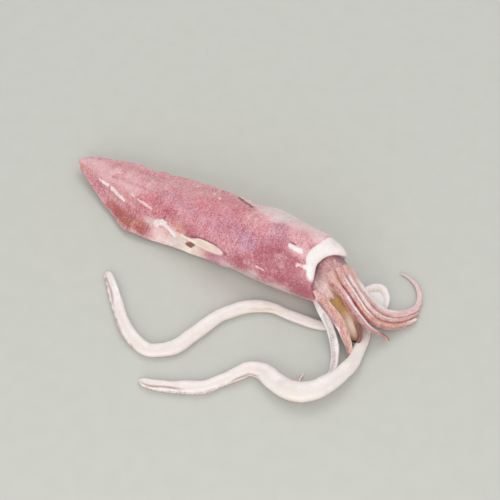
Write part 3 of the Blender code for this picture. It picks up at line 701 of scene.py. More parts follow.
ARM_ROUTES = {
    # base, middle and tip half width, roll at the base and the tip, route
    "arm_1_left": (3.6, 3.3, 1.4, -10, -25, (
        (157, -2.1, 31), (167.1, -8.5, 31.5), (176.9, -13.9, 29), (186.6, -16.7, 23), (195.7, -14.4, 16),
        (204.1, -8.7, 10), (211.9, -0.1, 6), (216.6, 8.5, 3.6), (219.3, 15.2, 2.4))),
    "arm_1_right": (3.4, 3.1, 1.2, 10, 10, (
        (151.3, -15.7, 35), (161.8, -20.6, 34), (172.6, -26.1, 31), (183.4, -29.3, 25), (191.9, -29.8, 18),
        (198.8, -27.2, 12), (204.5, -24.3, 7.5), (209.8, -24.5, 4))),
    "arm_2_left": (3.6, 3.5, 1.6, -20, -40, (
        (154.3, -8.4, 34), (164.2, -14.1, 33.5), (174.9, -19.3, 30), (184.5, -22.1, 24), (193.3, -21.2, 17),
        (202.1, -16.5, 11), (210.9, -8.1, 6.5), (217.3, 1, 4), (220.5, 8.7, 2.5))),
    "arm_2_right": (3.0, 3.4, 1.4, 50, 40, (
        (151.9, -16.9, 34.5), (159.3, -19.7, 33), (167.7, -24.3, 30.5), (176.6, -29.4, 26), (183.3, -33.6, 18),
        (187.9, -37.6, 11), (187.8, -43.9, 5))),
    "arm_3_left": (3.6, 3.4, 0.8, -60, -60, (
        (160.5, 1.7, 24), (169.8, -2.9, 23), (179.8, -6.7, 20), (189.2, -7, 15), (198.1, -4.7, 11),
        (205.5, 0.6, 8), (211.5, 8.5, 5), (215, 16, 3.2), (215, 24, 2.8), (211, 33, 2.4), (203, 41, 2.0), (194, 44.5, 1.6), (186, 45, 1.4))),
    "arm_3_right": (3.6, 4.6, 1.8, 50, 30, (
        (148, -31.0, 26.0), (152, -34.0, 27.6), (157.5, -36.7, 27.6), (164.6, -39.2, 24.4), (172.1, -41.7, 18.2),
        (179.8, -46.2, 11.5), (186, -51.7, 6.5), (190.3, -59.4, 3.2))),
    "arm_4_left": (4.2, 5.5, 2.0, -120, -60, (
        (159, -8, 12), (165, -3.5, 7.2), (170, 5, 6.3), (175, 13.5, 6.5), (181, 16.5, 6.4), (187, 13, 5.6),
        (190.5, 6, 4.4), (191.5, -1, 3), (190, -7, 2.4))),
    "arm_4_right": (3.4, 3.7, 0.9, 130, 160, (
        (141.5, -26.3, 16), (148.9, -32.3, 14), (156.8, -37.7, 11.5), (164.4, -44.2, 9), (172.2, -53.1, 6.5), (179, -65, 4), (182, -75, 3.8), (180.5, -85, 3.3), (174, -95, 2.9),
        (166, -101.5, 2.5), (161, -97, 2), (161, -88, 1.6))),
}
CROWN_AHEAD = np.array((0.79, -0.575, -0.21))
ROOT_INSIDE = 12.0                # how far each limb runs back into the head
ARM_SIDES = 44
STEP = 0.8

FLESH = {
    "salmon": (0.74, 0.45, 0.40), "orange": (0.80, 0.47, 0.30), "pink": (0.82, 0.58, 0.57),
    "white": (0.95, 0.91, 0.89), "bone": (0.82, 0.74, 0.70), "brown": (0.34, 0.15, 0.11),
    "umber": (0.20, 0.09, 0.06), "ochre": (0.50, 0.27, 0.06), "lilac": (0.58, 0.44, 0.48),
    "groove_shade": (0.30, 0.14, 0.14), "silver": (0.82, 0.80, 0.84), "cherry": (0.46, 0.14, 0.15),
    "peach": (0.84, 0.66, 0.56), "tan": (0.60, 0.38, 0.28),
}
# back, face with the suckers, amount of spots, and stripes along the arm: shade, strength,
# angle round from the top towards the arm's left, half width in degrees, share where it starts and ends
ARM_LOOKS = {
    # the silver stripes on the backs of arm_1_left and arm_1_right are painted highlights
    "arm_1_left": ("salmon", "bone", 0.5, (
        ("orange", 0.8, 46, 30, 0.10, 0.85), ("silver", 0.95, 2, 22, 0.10, 0.72), ("cherry", 0.7, -62, 30, 0.1, 1.0),
        ("pink", 0.6, 30, 40, 0.7, 1.1))),
    "arm_1_right": ("salmon", "bone", 0.5, (
        ("orange", 0.85, 52, 30, 0.1, 0.95), ("silver", 0.95, 8, 20, 0.30, 0.80), ("cherry", 0.6, -40, 34, 0.1, 0.95),
        ("umber", 0.8, -84, 24, 0.3, 1.0), ("umber", 0.8, 20, 70, 0.86, 1.1))),
    "arm_2_left": ("salmon", "bone", 0.6, (
        ("orange", 0.85, -8, 34, 0.35, 0.95), ("white", 0.85, 22, 20, 0.08, 0.5), ("cherry", 0.7, -64, 30, 0.1, 1.0),
        ("white", 0.7, 0, 80, 0.9, 1.1))),
    # arm_2_right lies in the recess between its neighbours: its dark brown and umber are painted shade
    "arm_2_right": ("brown", "brown", 0.7, (
        ("cherry", 0.5, 10, 40, 0.1, 0.8), ("tan", 0.6, 60, 30, 0.3, 0.9), ("ochre", 0.6, -80, 30, 0.3, 0.75),
        ("umber", 0.95, 0, 180, 0.66, 1.1))),
    "arm_3_left": ("pink", "bone", 0.35, (
        # the dark groove stripes here and on arm_3_right are painted shade along the arms' grooves
        ("white", 0.7, 30, 34, 0.1, 0.5), ("orange", 0.4, -50, 34, 0.15, 0.5), ("groove_shade", 0.6, -86, 22, 0.3, 0.62),
        ("white", 0.5, 60, 26, 0.5, 0.75))),
    "arm_3_right": ("salmon", "white", 0.8, (
        ("white", 1.0, 64, 40, 0.22, 1.1), ("orange", 0.8, -4, 32, 0.15, 1.1), ("cherry", 0.4, -24, 22, 0.3, 1.1),
        ("groove_shade", 0.9, -66, 24, 0.12, 0.5), ("cherry", 0.7, -66, 20, 0.6, 1.1))),
    "arm_4_left": ("bone", "white", 0.1, (("white", 0.9, 40, 60, 0.2, 1.0), ("pink", 0.5, -60, 50, 0.2, 0.8))),
    "arm_4_right": ("white", "white", 0.0, (
        ("pink", 0.25, -10, 30, 0.12, 0.45), ("tan", 0.5, 40, 22, 0.05, 0.26), ("pink", 0.5, 62, 22, 0.3, 0.9),
        ("cherry", 1.0, 16, 34, 0.93, 0.985))),
}


def arm_profile(phi, keel=0.12):
    """Section of an arm: a rounded back with a low keel, two thin edges, and a flat face below."""
    edges = hump(phi, 118, 20) + hump(phi, -118, 20)
    reach = 1.0 + keel * hump(phi, 0, 30) + 0.16 * edges - 0.26 * hump(np.abs(phi), 180, 58)
    return np.stack((reach * np.sin(np.radians(phi)), reach * np.cos(np.radians(phi))), axis=-1)


def striped(tint, stripes, psi, share, ragged):
    for shade, strength, middle, half, start, end in stripes:
        away = np.abs((psi - middle + 180) % 360 - 180) + ragged * half * 0.22
        along = smooth(start - 0.06, start + 0.05, share) * smooth(end + 0.05, end - 0.05, share)
        tint = mixed(tint, FLESH[shade], smooth(half, half * 0.45, away) * along * strength)
    return tint


def arm_frame(name):
    base, middle, tip, roll_base, roll_tip, points = ARM_ROUTES[name]
    points = [np.array(points[0]) - CROWN_AHEAD * ROOT_INSIDE] + [np.array(p, float) for p in points]
    route = smooth_route(points, STEP)
    share = np.linspace(0, 1, len(route))
    half = np.where(share < 0.45, base + (middle - base) * smooth(0, 0.45, share),
                    middle + (tip - middle) * np.clip((share - 0.45) / 0.55, 0, 1) ** 1.25)
    half = half * (1 + 0.25 * smooth(0.30, 0.10, share))
    half = half * np.sqrt(np.clip((1 - share) * len(route) * STEP / (1.2 * tip + 0.4), 0.02, 1))
    roll = roll_base + (roll_tip - roll_base) * share
    side, back, ahead = route_frames(route, roll)
    return route, share, half, roll, side, back


def arm_object(name):
    route, share, half, roll, side, back = arm_frame(name)
    phi = np.linspace(-180, 180, ARM_SIDES, endpoint=False)
    rings = tube_rings(route, side, back, half, arm_profile(phi)[None])
    shape = rings.shape[:2]
    psi = phi[None, :] + roll[:, None]
    swell = noise(rings.reshape(-1, 3), 7, 41, 2) * 0.24 + noise(rings.reshape(-1, 3), 2.6, 42, 2) * 0.10
    grooves = hump((psi + 180) % 360 - 180, 34, 16) + hump((psi + 180) % 360 - 180, -30, 16)
    rings = rings + grid_normals(rings) * (swell.reshape(shape) - 0.35 * grooves * smooth(0.1, 0.3, share)[:, None])[..., None]
    rings[:, :, 2] = np.maximum(rings[:, :, 2], 0.15)
    obj = skin_object(name + "_flesh", rings)
    p = rings.reshape(-1, 3)
    f = np.broadcast_to(phi, shape)
    oral = smooth(84, 118, np.abs(f))
    back_shade, face_shade, spots, stripes = ARM_LOOKS[name]
    along = np.broadcast_to(share[:, None], shape)
    ragged = noise(p, 4, 51, 2).reshape(shape)
    tint = mixed(np.array(FLESH[back_shade]), FLESH[face_shade], oral)
    tint = mixed(tint, FLESH["bone"], smooth(0.1, 1.0, noise(p, 4, 52, 2).reshape(shape)) * 0.30)
    tint = striped(tint, stripes, psi, along, ragged)
    tint = mixed(tint, FLESH["salmon"], smooth(0.16, 0.06, along) * 0.8)
    add_colour(obj, "tint", tint)
    add_number(obj, "spots", np.minimum(spots * 1.5, 1) * (1 - oral) * (1 - 0.6 * smooth(0.5, 0.8, tint[..., 1])))
    add_vector(obj, "flow", np.stack((f * 0.06 * MM, along * len(route) * STEP * MM, np.zeros(shape)), axis=-1))
    obj.data.materials.append(SKINS["arm"])
    return obj


TENTACLE_ROUTES = {
    "tentacle_left": ((3.4, 4.2, 4.9, 4.8, 5.8, 6.0, 6.6, 6.6, 5.9, 5.9, 5.2, 5.1, 3.8), (
        (153, -17, 13), (157, -20, 7), (161, -29, 2.7), (157.5, -36.5, 2.7), (148, -41, 3), (138, -43, 3.4),
        (124, -45, 3.8), (105, -47, 4), (89, -55, 4.2), (78, -67, 4.3), (71, -77, 4.4), (66, -91, 4.5),
        (61, -106, 4.5), (55, -122, 4.4), (45, -132, 4.2), (35, -137, 4), (19, -134, 3.8), (4, -126, 3.6),
        (-10, -114, 3.3), (-21, -104, 3.1), (-32, -94, 2.8), (-41.5, -87, 2.5))),
    "tentacle_right": ((3.2, 5.4, 5.4, 5.6, 6.8, 8.4, 8.9, 8.4, 6.4, 5.2, 6.0, 4.8, 3.6), (
        (153, -20, 20), (159, -22, 17), (168, -17.5, 10.5), (177, -16, 5.6), (184, -19.5, 5.4),
        (187, -26, 5.3), (190, -36, 5.2), (192, -47, 6), (193.5, -61, 8), (191.5, -74, 10), (188, -86, 11.5),
        (181, -100, 12), (171, -109, 11), (159, -112, 9), (145, -110, 7.3), (131, -106.5, 5.8), (120, -110, 5),
        (115, -117, 4.6), (106, -130, 4.2), (96, -143, 4), (83, -151, 4), (70, -158, 3.8), (57, -163, 3.2),
        (45, -165, 2.4))),
}
TENTACLE_SIDES = 60
# creases pressed into each tentacle: start and end place, angle round from the top towards its left,
# half width in degrees, depth in mm, shade, strength
# each crease's shade is painted shade laid along the crease
CREASES = {
    "tentacle_left": (
        ((113, -46, 4), (84, -59, 4), 46, 16, 0.7, "tan", 0.40),
        ((-8, -116, 3), (-42, -87, 2.5), 34, 15, 1.0, "groove_shade", 0.60),
        ((18, -134, 4), (-4, -120, 3.5), 58, 13, 0.8, "brown", 0.55),
        ((-14, -111, 3), (-36, -91, 2.6), -46, 16, 0.6, "lilac", 0.60)),
    "tentacle_right": (
        ((136, -107, 6), (108, -128, 4.3), 58, 15, 1.2, "brown", 0.75),
        ((84, -151, 4), (46, -165, 2.5), 34, 16, 1.3, "groove_shade", 0.80),
        ((104, -133, 4), (86, -150, 4), 70, 18, 0.4, "tan", 0.45)),
}


def tentacle_frame(name):
    widths, points = TENTACLE_ROUTES[name]
    points = [np.array(points[0]) - CROWN_AHEAD * ROOT_INSIDE] + [np.array(p, float) for p in points]
    route = smooth_route(points, STEP)
    length = (len(route) - 1) * STEP
    share = np.linspace(0, 1, len(route))
    half = eased(widths, (share * length - ROOT_INSIDE) / (length - ROOT_INSIDE))
    half = half * np.sqrt(np.clip((1 - share) * length / 4.5, 0.02, 1))
    side, back, ahead = route_frames(route, np.zeros(len(route)))
    return route, share, half, side, back


def tentacle_object(name):
    route, share, half, side, back = tentacle_frame(name)
    phi = np.linspace(-180, 180, TENTACLE_SIDES, endpoint=False)
    around = np.radians(phi)
    square = (np.abs(np.cos(around)) ** 2.6 + np.abs(np.sin(around)) ** 2.6) ** (-1 / 2.6)
    profile = np.stack((np.sin(around) * square, np.cos(around) * square * 0.60), axis=-1)
    rings = tube_rings(route, side, back, half, np.broadcast_to(profile, (len(route), *profile.shape)))
    shape = rings.shape[:2]
    along = np.broadcast_to(share[:, None], shape)
    f = np.broadcast_to(phi, shape)
    flat = rings.reshape(-1, 3)
    swell = (noise(flat, 16, 61, 2) * 0.45 + noise(flat, 5, 62, 2) * 0.16).reshape(shape)
    # the club is lumpy along the edge that carries the suckers
    beat = np.sin(along * len(route) * STEP * 2 * pi / 9.0) * hump(f, 78, 50) * smooth(0.70, 0.76, along)
    swell = swell + 0.55 * beat
    tint = np.broadcast_to(np.array((0.83, 0.76, 0.72)), (*shape, 3))
    tint = mixed(tint, FLESH["peach"], smooth(-0.1, 1.0, noise(flat, 18, 71, 2).reshape(shape)) * 0.40)
    tint = mixed(tint, FLESH["white"], hump(f, -40, 60) * 0.6)
    # painted shade: grey lilac on the tentacle's flat edges
    tint = mixed(tint, FLESH["lilac"], smooth(60, 100, np.abs(f)) * 0.22)
    # painted shade in the hollows between the club's lumps
    tint = mixed(tint, FLESH["groove_shade"], np.clip(-beat, 0, 1) ** 3 * 0.55)
    for start, end, middle, half_angle, depth, shade, strength in CREASES[name]:
        first = int(np.argmin(np.linalg.norm(route - np.array(start, float), axis=1)))
        last = int(np.argmin(np.linalg.norm(route - np.array(end, float), axis=1)))
        t = (np.arange(len(route)) - first) / max(last - first, 1)
        present = (smooth(-0.05, 0.25, t) * smooth(1.05, 0.75, t))[:, None]
        away = np.abs(f - middle - 6 * np.sin(along * 60))
        swell = swell - depth * smooth(half_angle * 1.2, 0, away) * present
        tint = mixed(tint, FLESH[shade], smooth(half_angle * 0.8, half_angle * 0.2, away) * present * strength)
        tint = mixed(tint, FLESH["white"], hump(away, half_angle * 1.7, half_angle * 0.8) * present * 0.5)
    root = smooth(0.115, 0.085, along) if name == "tentacle_right" else smooth(0.075, 0.055, along)
    tint = mixed(tint, FLESH["lilac"] if name == "tentacle_right" else FLESH["pink"], root * 0.75)
    rings = rings + grid_normals(rings) * swell[..., None]
    rings[:, :, 2] = np.maximum(rings[:, :, 2], 0.15)
    obj = skin_object(name + "_flesh", rings)
    add_colour(obj, "tint", tint)
    obj.data.materials.append(SKINS["pale"])
    return obj


# thin skin between limbs: two rails, the share of the way each starts and ends, rise of its middle,
# thickness, shades from the first rail to the second
WEBS = {
    # web_right's umber along arm_2_right and at its far end is painted shade of the recess
    "web_right": ("arm_2_right", (0.12, 0.93), "arm_3_right", (0.12, 0.70), -3.2, 1.0, ("umber", "ochre", "ochre", "ochre")),
    "web_left": ("arm_4_left", (0.12, 0.94), "arm_3_left", (0.10, 0.42), 2.4, 1.8, ("white", "white", "bone", "white")),
    "web_near": ("tentacle_left", (0.02, 0.118), "arm_4_right", (0.08, 0.34), -0.4, 1.2, ("pink", "peach", "bone", "white")),
    "web_under": ("tentacle_right", (0.055, 0.10), "arm_1_right", (0.45, 0.78), -1.0, 1.0, ("pink", "lilac", "ochre", "ochre")),
}


def limb_route(name):
    return tentacle_frame(name)[0] if name in TENTACLE_ROUTES else arm_frame(name)[0]


def web_object(name):
    first, (f0, f1), second, (s0, s1), rise, thick, shades = WEBS[name]
    rails = []
    for limb, start, end in ((first, f0, f1), (second, s0, s1)):
        route = limb_route(limb)
        want = np.linspace(start, end, 60) * (len(route) - 1)
        rails.append(np.stack([np.interp(want, np.arange(len(route)), route[:, k]) for k in range(3)], axis=1))
    across = np.linspace(0, 1, 36)
    arch = (4 * across * (1 - across))[None, :, None]
    t = np.linspace(0, 1, 60)
    hollow = 0.35 + 0.65 * smooth(0.0, 0.4, t)[:, None, None]
    sheet = rails[0][:, None] * (1 - across[None, :, None]) + rails[1][:, None] * across[None, :, None]
    sheet = sheet + arch * hollow * np.array((0, 0, rise))
    sheet[:, :, 2] += (noise(sheet.reshape(-1, 3), 7, 33, 2) * 0.35).reshape(60, 36)
    lower = sheet[:, ::-1] - np.array((0, 0, thick))
    rings = np.concatenate((sheet, lower), axis=1)
    rings[:, :, 2] = np.maximum(rings[:, :, 2], 0.4)
    obj = skin_object(name, rings)
    shape = rings.shape[:2]
    u = np.concatenate((across, across[::-1]))
    table = np.array([FLESH[s] for s in shades])
    place = u * (len(table) - 1)
    colour = np.stack([np.interp(place, np.arange(len(table)), table[:, k]) for k in range(3)], axis=-1)
    tint = np.broadcast_to(colour, (*shape, 3))
    deep = "ochre" in shades
    if deep:
        tint = mixed(tint, FLESH["peach"], np.broadcast_to(hump(t, 0.72, 0.34)[:, None], shape) * 0.7)
        # painted shade: darker umber along the first rail and towards the far end, where the web lies deep between the
        # limbs
        tint = mixed(tint, FLESH["umber"], np.maximum(smooth(0.3, 0.0, u)[None] * 0.8, smooth(0.84, 1.0, t)[:, None] * 0.9))
    else:
        tint = mixed(tint, FLESH["bone"], smooth(0.2, 1.0, noise(rings.reshape(-1, 3), 5, 34, 2).reshape(shape)) * 0.35)
    add_colour(obj, "tint", tint)
    add_number(obj, "spots", np.full(shape, 0.12))
    add_vector(obj, "flow", rings[..., [1, 0, 2]] * MM)
    obj.data.materials.append(SKINS["arm"] if deep else SKINS["pale"])
    return obj


# ---------------------------------------------------------------- suckers


def sucker_places():
    """Where the suckers stand, which way each faces, and how wide each is, in millimetres."""
    places, facings, sizes = [], [], []
    for name in ARM_ROUTES:
        route, share, half, roll, side, back = arm_frame(name)
        at = 26.0
        length = (len(route) - 1) * STEP
        turn = 1
        while at < length - 3:
            i = int(at / STEP)
            lean = radians(180 + 24 * turn)
            facing = side[i] * sin(lean) + back[i] * cos(lean)
            size = 0.62 * half[i]
            places.append(route[i] + facing * half[i] * 0.78)
            facings.append(facing)
            sizes.append(size)
            at += max(size * 0.62, 0.8)
            turn = -turn
    for name in TENTACLE_ROUTES:
        route, share, half, side, back = tentacle_frame(name)
        length = (len(route) - 1) * STEP
        at = length * 0.74
        row = 0
        while at < length - 4:
            i = int(at / STEP)
            lean = radians((100, 124, 148, 166)[row % 4])
            reach = (abs(sin(lean)) ** 2.6 + abs(cos(lean)) ** 2.6) ** (-1 / 2.6)
            facing = side[i] * sin(lean) + back[i] * cos(lean)
            size = (1.4, 2.2, 2.2, 1.4)[row % 4] * min(1.0, half[i] / 5.0)
            places.append(route[i] + (side[i] * sin(lean) + back[i] * cos(lean) * 0.6) * reach * half[i] * 0.96)
            facings.append(facing)
            sizes.append(size)
            at += 0.75
            row += 1
    places, facings, sizes = np.array(places), np.array(facings), np.array(sizes)
    clear = places[:, 2] - sizes * 0.75 > 0.1
    return places[clear], facings[clear], sizes[clear]


def sucker_tree(cup_skin, hollow_skin):
    """Geometry Nodes: a ring with a sunk disc in it for each point, turned to its facing; the disc's dark colour is
    painted shade of the hollow.
    """
    tree = bpy.data.node_groups.new("suckers", "GeometryNodeTree")
    face = tree.interface
    face.new_socket("Places", in_out="INPUT", socket_type="NodeSocketGeometry")
    for name, value in (("Width", 1.0), ("Rim", 0.26), ("Depth", 0.30)):
        face.new_socket(name, in_out="INPUT", socket_type="NodeSocketFloat").default_value = value
    face.new_socket("Suckers", in_out="OUTPUT", socket_type="NodeSocketGeometry")
    nodes, links = tree.nodes, tree.links
    given, result = nodes.new("NodeGroupInput"), nodes.new("NodeGroupOutput")
    rim = nodes.new("GeometryNodeCurvePrimitiveCircle")
    rim.inputs["Resolution"].default_value = 10
    rim.inputs["Radius"].default_value = 0.5
    section = nodes.new("GeometryNodeCurvePrimitiveCircle")
    section.inputs["Resolution"].default_value = 5
    links.new(given.outputs["Rim"], section.inputs["Radius"])
    sweep = nodes.new("GeometryNodeCurveToMesh")
    links.new(rim.outputs["Curve"], sweep.inputs["Curve"])
    links.new(section.outputs["Curve"], sweep.inputs["Profile Curve"])
    ring_skin = nodes.new("GeometryNodeSetMaterial")
    ring_skin.inputs["Material"].default_value = cup_skin
    links.new(sweep.outputs["Mesh"], ring_skin.inputs["Geometry"])
    disc = nodes.new("GeometryNodeMeshCone")
    disc.inputs["Vertices"].default_value = 10
    disc.inputs["Radius Bottom"].default_value = 0.42
    disc.inputs["Radius Top"].default_value = 0.30
    links.new(given.outputs["Depth"], disc.inputs["Depth"])
    sink = nodes.new("GeometryNodeTransform")
    sink.inputs["Translation"].default_value = (0.0, 0.0, -0.24)
    links.new(disc.outputs["Mesh"], sink.inputs["Geometry"])
    disc_skin = nodes.new("GeometryNodeSetMaterial")
    disc_skin.inputs["Material"].default_value = hollow_skin
    links.new(sink.outputs["Geometry"], disc_skin.inputs["Geometry"])
    cup = nodes.new("GeometryNodeJoinGeometry")
    links.new(ring_skin.outputs["Geometry"], cup.inputs["Geometry"])
    links.new(disc_skin.outputs["Geometry"], cup.inputs["Geometry"])
    turn = nodes.new("FunctionNodeAlignRotationToVector")
    turn.axis = "Z"
    facing = nodes.new("GeometryNodeInputNamedAttribute")
    facing.data_type = "FLOAT_VECTOR"
    facing.inputs["Name"].default_value = "facing"
    links.new(facing.outputs["Attribute"], turn.inputs["Vector"])
    width = nodes.new("GeometryNodeInputNamedAttribute")
    width.data_type = "FLOAT"
    width.inputs["Name"].default_value = "width"
    scaled = nodes.new("ShaderNodeMath")
    scaled.operation = "MULTIPLY"
    links.new(width.outputs["Attribute"], scaled.inputs[0])
    links.new(given.outputs["Width"], scaled.inputs[1])
    copies = nodes.new("GeometryNodeInstanceOnPoints")
    links.new(given.outputs["Places"], copies.inputs["Points"])
    links.new(cup.outputs["Geometry"], copies.inputs["Instance"])
    links.new(turn.outputs["Rotation"], copies.inputs["Rotation"])
    links.new(scaled.outputs[0], copies.inputs["Scale"])
    real = nodes.new("GeometryNodeRealizeInstances")
    links.new(copies.outputs["Instances"], real.inputs["Geometry"])
    links.new(real.outputs["Geometry"], result.inputs["Suckers"])
    return tree


def suckers_object():
    places, facings, sizes = sucker_places()
    mesh = bpy.data.meshes.new("sucker_places")
    mesh.from_pydata((places * MM).tolist(), [], [])
    points = bpy.data.objects.new("sucker_places", mesh)
    bpy.context.scene.collection.objects.link(points)
    mesh.attributes.new("facing", "FLOAT_VECTOR", "POINT").data.foreach_set("vector", facings.astype(np.float32).ravel())
    mesh.attributes.new("width", "FLOAT", "POINT").data.foreach_set("value", (sizes * MM).astype(np.float32))
    make = points.modifiers.new("suckers", "NODES")
    tree = sucker_tree(SKINS["cup"], SKINS["cup_hollow"])
    make.node_group = tree
    for item in tree.interface.items_tree:
        if item.in_out == "INPUT" and item.socket_type == "NodeSocketFloat":
            make[item.identifier] = {"Width": 1.0, "Rim": 0.24, "Depth": 0.30}[item.name]
    evaluated = points.evaluated_get(bpy.context.evaluated_depsgraph_get())
    made = bpy.data.meshes.new_from_object(evaluated)
    made.name = "suckers"
    points.modifiers.remove(make)
    bpy.data.objects.remove(points, do_unlink=True)
    work = bmesh.new()
    work.from_mesh(made)
    bmesh.ops.recalc_face_normals(work, faces=work.faces)
    work.to_mesh(made)
    work.free()
    made.shade_smooth()
    obj = bpy.data.objects.new("suckers", made)
    bpy.context.scene.collection.objects.link(obj)
    return obj


# ---------------------------------------------------------------- head, eyes and funnel

HEAD_ROUTE = ((101, 0, 24.4), (114.5, 0, 25.0), (128, -0.4, 26.2), (143.5, -9.6, 23.3), (153.6, -16.8, 20.7))
HEAD_HALF_WIDTHS = (18.6, 19.6, 20.8, 21.2, 16.4)
HEAD_HALF_HEIGHTS = (12.6, 13.4, 16.3, 16.2, 11.4)


def head_object():
    route = smooth_route(HEAD_ROUTE, STEP)
    share = np.linspace(0, 1, len(route))
    side, back, ahead = route_frames(route, np.full(len(route), 18.0) * smooth(0.1, 0.5, share))
    width = eased(HEAD_HALF_WIDTHS, share)
    height = eased(HEAD_HALF_HEIGHTS, share)
    phi = np.linspace(-180, 180, 180, endpoint=False)
    a = np.radians(phi)
    profile = np.stack((np.sin(a)[None] * width[:, None], np.cos(a)[None] * height[:, None]), axis=-1)
    # the neck is slimmer on its far side, under the collar's far lobe
    slim = 1 - 0.20 * hump(phi, -52, 75)[None, :] * smooth(142, 126, route[:, 0])[:, None]
    rings = tube_rings(route, side, back, np.ones(len(route)), profile * slim[..., None])
    # the front end draws in between the arms' roots
    close = []
    for turn in np.linspace(0.1, 1, 12):
        drawn = cos(turn * pi / 2) * 0.9 + 0.1
        close.append(route[-1] + (rings[-1] - route[-1]) * drawn + ahead[-1] * 6.0 * sin(turn * pi / 2))
    rings = np.concatenate((rings, np.array(close)))
    shape = rings.shape[:2]
    flat = rings.reshape(-1, 3)
    # shallow furrows run from the neck on into the arms
    dent = (noise(flat, 16, 81, 2) * 0.5 + noise(flat, 5, 82, 2) * 0.22).reshape(shape)
    furrow = np.sin(np.radians(phi) * 13 + 1.3)[None, :] * smooth(134, 148, rings[:, :, 0]) * 0.8
    rings = rings + grid_normals(rings) * (dent + furrow)[..., None]
    obj = skin_object("head_skin", rings)
    p = rings
    x, y, z = p[..., 0], p[..., 1], p[..., 2]
    f = np.broadcast_to(phi, shape)
    ragged = noise(p.reshape(-1, 3), 4, 83, 3).reshape(shape)
    tint = np.broadcast_to(np.array((0.58, 0.30, 0.28)), (*shape, 3))
    tint = mixed(tint, (0.74, 0.46, 0.40), smooth(136, 150, x) * 0.8)
    tint = mixed(tint, (0.84, 0.66, 0.60), smooth(-30, -60, f) * 0.8)
    top = near_path(p, ((116, 4, 38.5), (125, 8, 37.5), (133, 10, 36), (141, 10, 33.5)))
    tint = mixed(tint, (0.38, 0.22, 0.34), smooth(9.0, 3.0, top + ragged * 1.4) * 0.9)
    tint = mixed(tint, (0.46, 0.42, 0.60), smooth(2.6, 0.8, near_path(p, ((126, 11, 36), (138, 13, 33))) + ragged) * 0.7)
    # painted shadow of the collar: the neck's near side next to it is painted dark brown
    shade = near_path(p, ((120, -4, 40), (125, -13, 38), (129, -19, 33), (132, -23, 26), (134, -25, 16)))
    tint = mixed(tint, (0.20, 0.08, 0.09), smooth(18, 6.0, shade + ragged * 2) * 0.9)
    tint = mixed(tint, (0.42, 0.24, 0.24), smooth(60, 95, f) * smooth(150, 128, x) * 0.5)
    tint = mixed(tint, (0.82, 0.60, 0.56), smooth(0.45, 1.0, noise(p.reshape(-1, 3), 4, 84, 2).reshape(shape)) * 0.5)
    add_colour(obj, "tint", tint)
    add_number(obj, "spots", 0.85 * (1 - 0.7 * smooth(-16, -52, f)) * np.ones(shape))
    add_vector(obj, "flow", np.stack((f * 0.35 * MM, x * MM, np.zeros(shape)), axis=-1))
    obj.data.materials.append(SKINS["head"])
    return obj


def eye_object(name):
    """A ball with a black pupil and a silver iris, in a ring of clear skin, turned away from the head."""
    low, high = (np.array(corner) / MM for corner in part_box(name))
    middle = (low + high) / 2
    radius = float((high - low).min()) / 2
    heart = np.array((136.0, -6.0, 24.5))
    out = unit(middle - heart)
    side = unit(np.cross(out, np.array((1.0, 0.0, 0.0))))
    up = np.cross(side, out)
    turns = np.radians(np.linspace(0, 180, 46)[1:-1])
    phi = np.radians(np.linspace(0, 360, 64, endpoint=False))
    reach = np.full(len(turns), radius)
    degrees_out = np.degrees(turns)
    reach = reach * (1 + 0.035 * hump(degrees_out, 0, 34) + 0.045 * hump(degrees_out, 52, 10))
    rings = (middle + out * (np.cos(turns) * reach)[:, None, None]
             + (side * np.cos(phi)[:, None] + up * np.sin(phi)[:, None])[None] * (np.sin(turns) * reach)[:, None, None])
    obj = skin_object(name + "_ball", rings)
    shape = rings.shape[:2]
    d = np.broadcast_to(degrees_out[:, None], shape)
    ray = noise(np.stack((np.cos(phi) * 4, np.sin(phi) * 4, np.zeros(64)), axis=-1), 0.5, 95, 2)[None, :]
    tint = np.broadcast_to(np.array((0.50, 0.40, 0.40)), (*shape, 3))
    tint = mixed(tint, (0.20, 0.10, 0.10), hump(d, 58, 9) * 0.8)
    iris = smooth(50, 46, d)
    tint = mixed(tint, (0.46, 0.47, 0.48), iris)
    tint = mixed(tint, (0.24, 0.22, 0.20), iris * smooth(-0.2, 0.8, ray) * 0.6)
    tint = mixed(tint, (0.012, 0.012, 0.016), smooth(23, 20, d))
    add_colour(obj, "tint", tint)
    obj.data.materials.append(SKINS["eye"])
    return obj


FUNNEL_ROUTE = ((115, 3, 8.2), (122, 3, 7.4), (132, 1, 4.6), (143, -2, 3.0))
FUNNEL_HALF_WIDTHS = (6.0, 6.4, 6.2, 4.6)


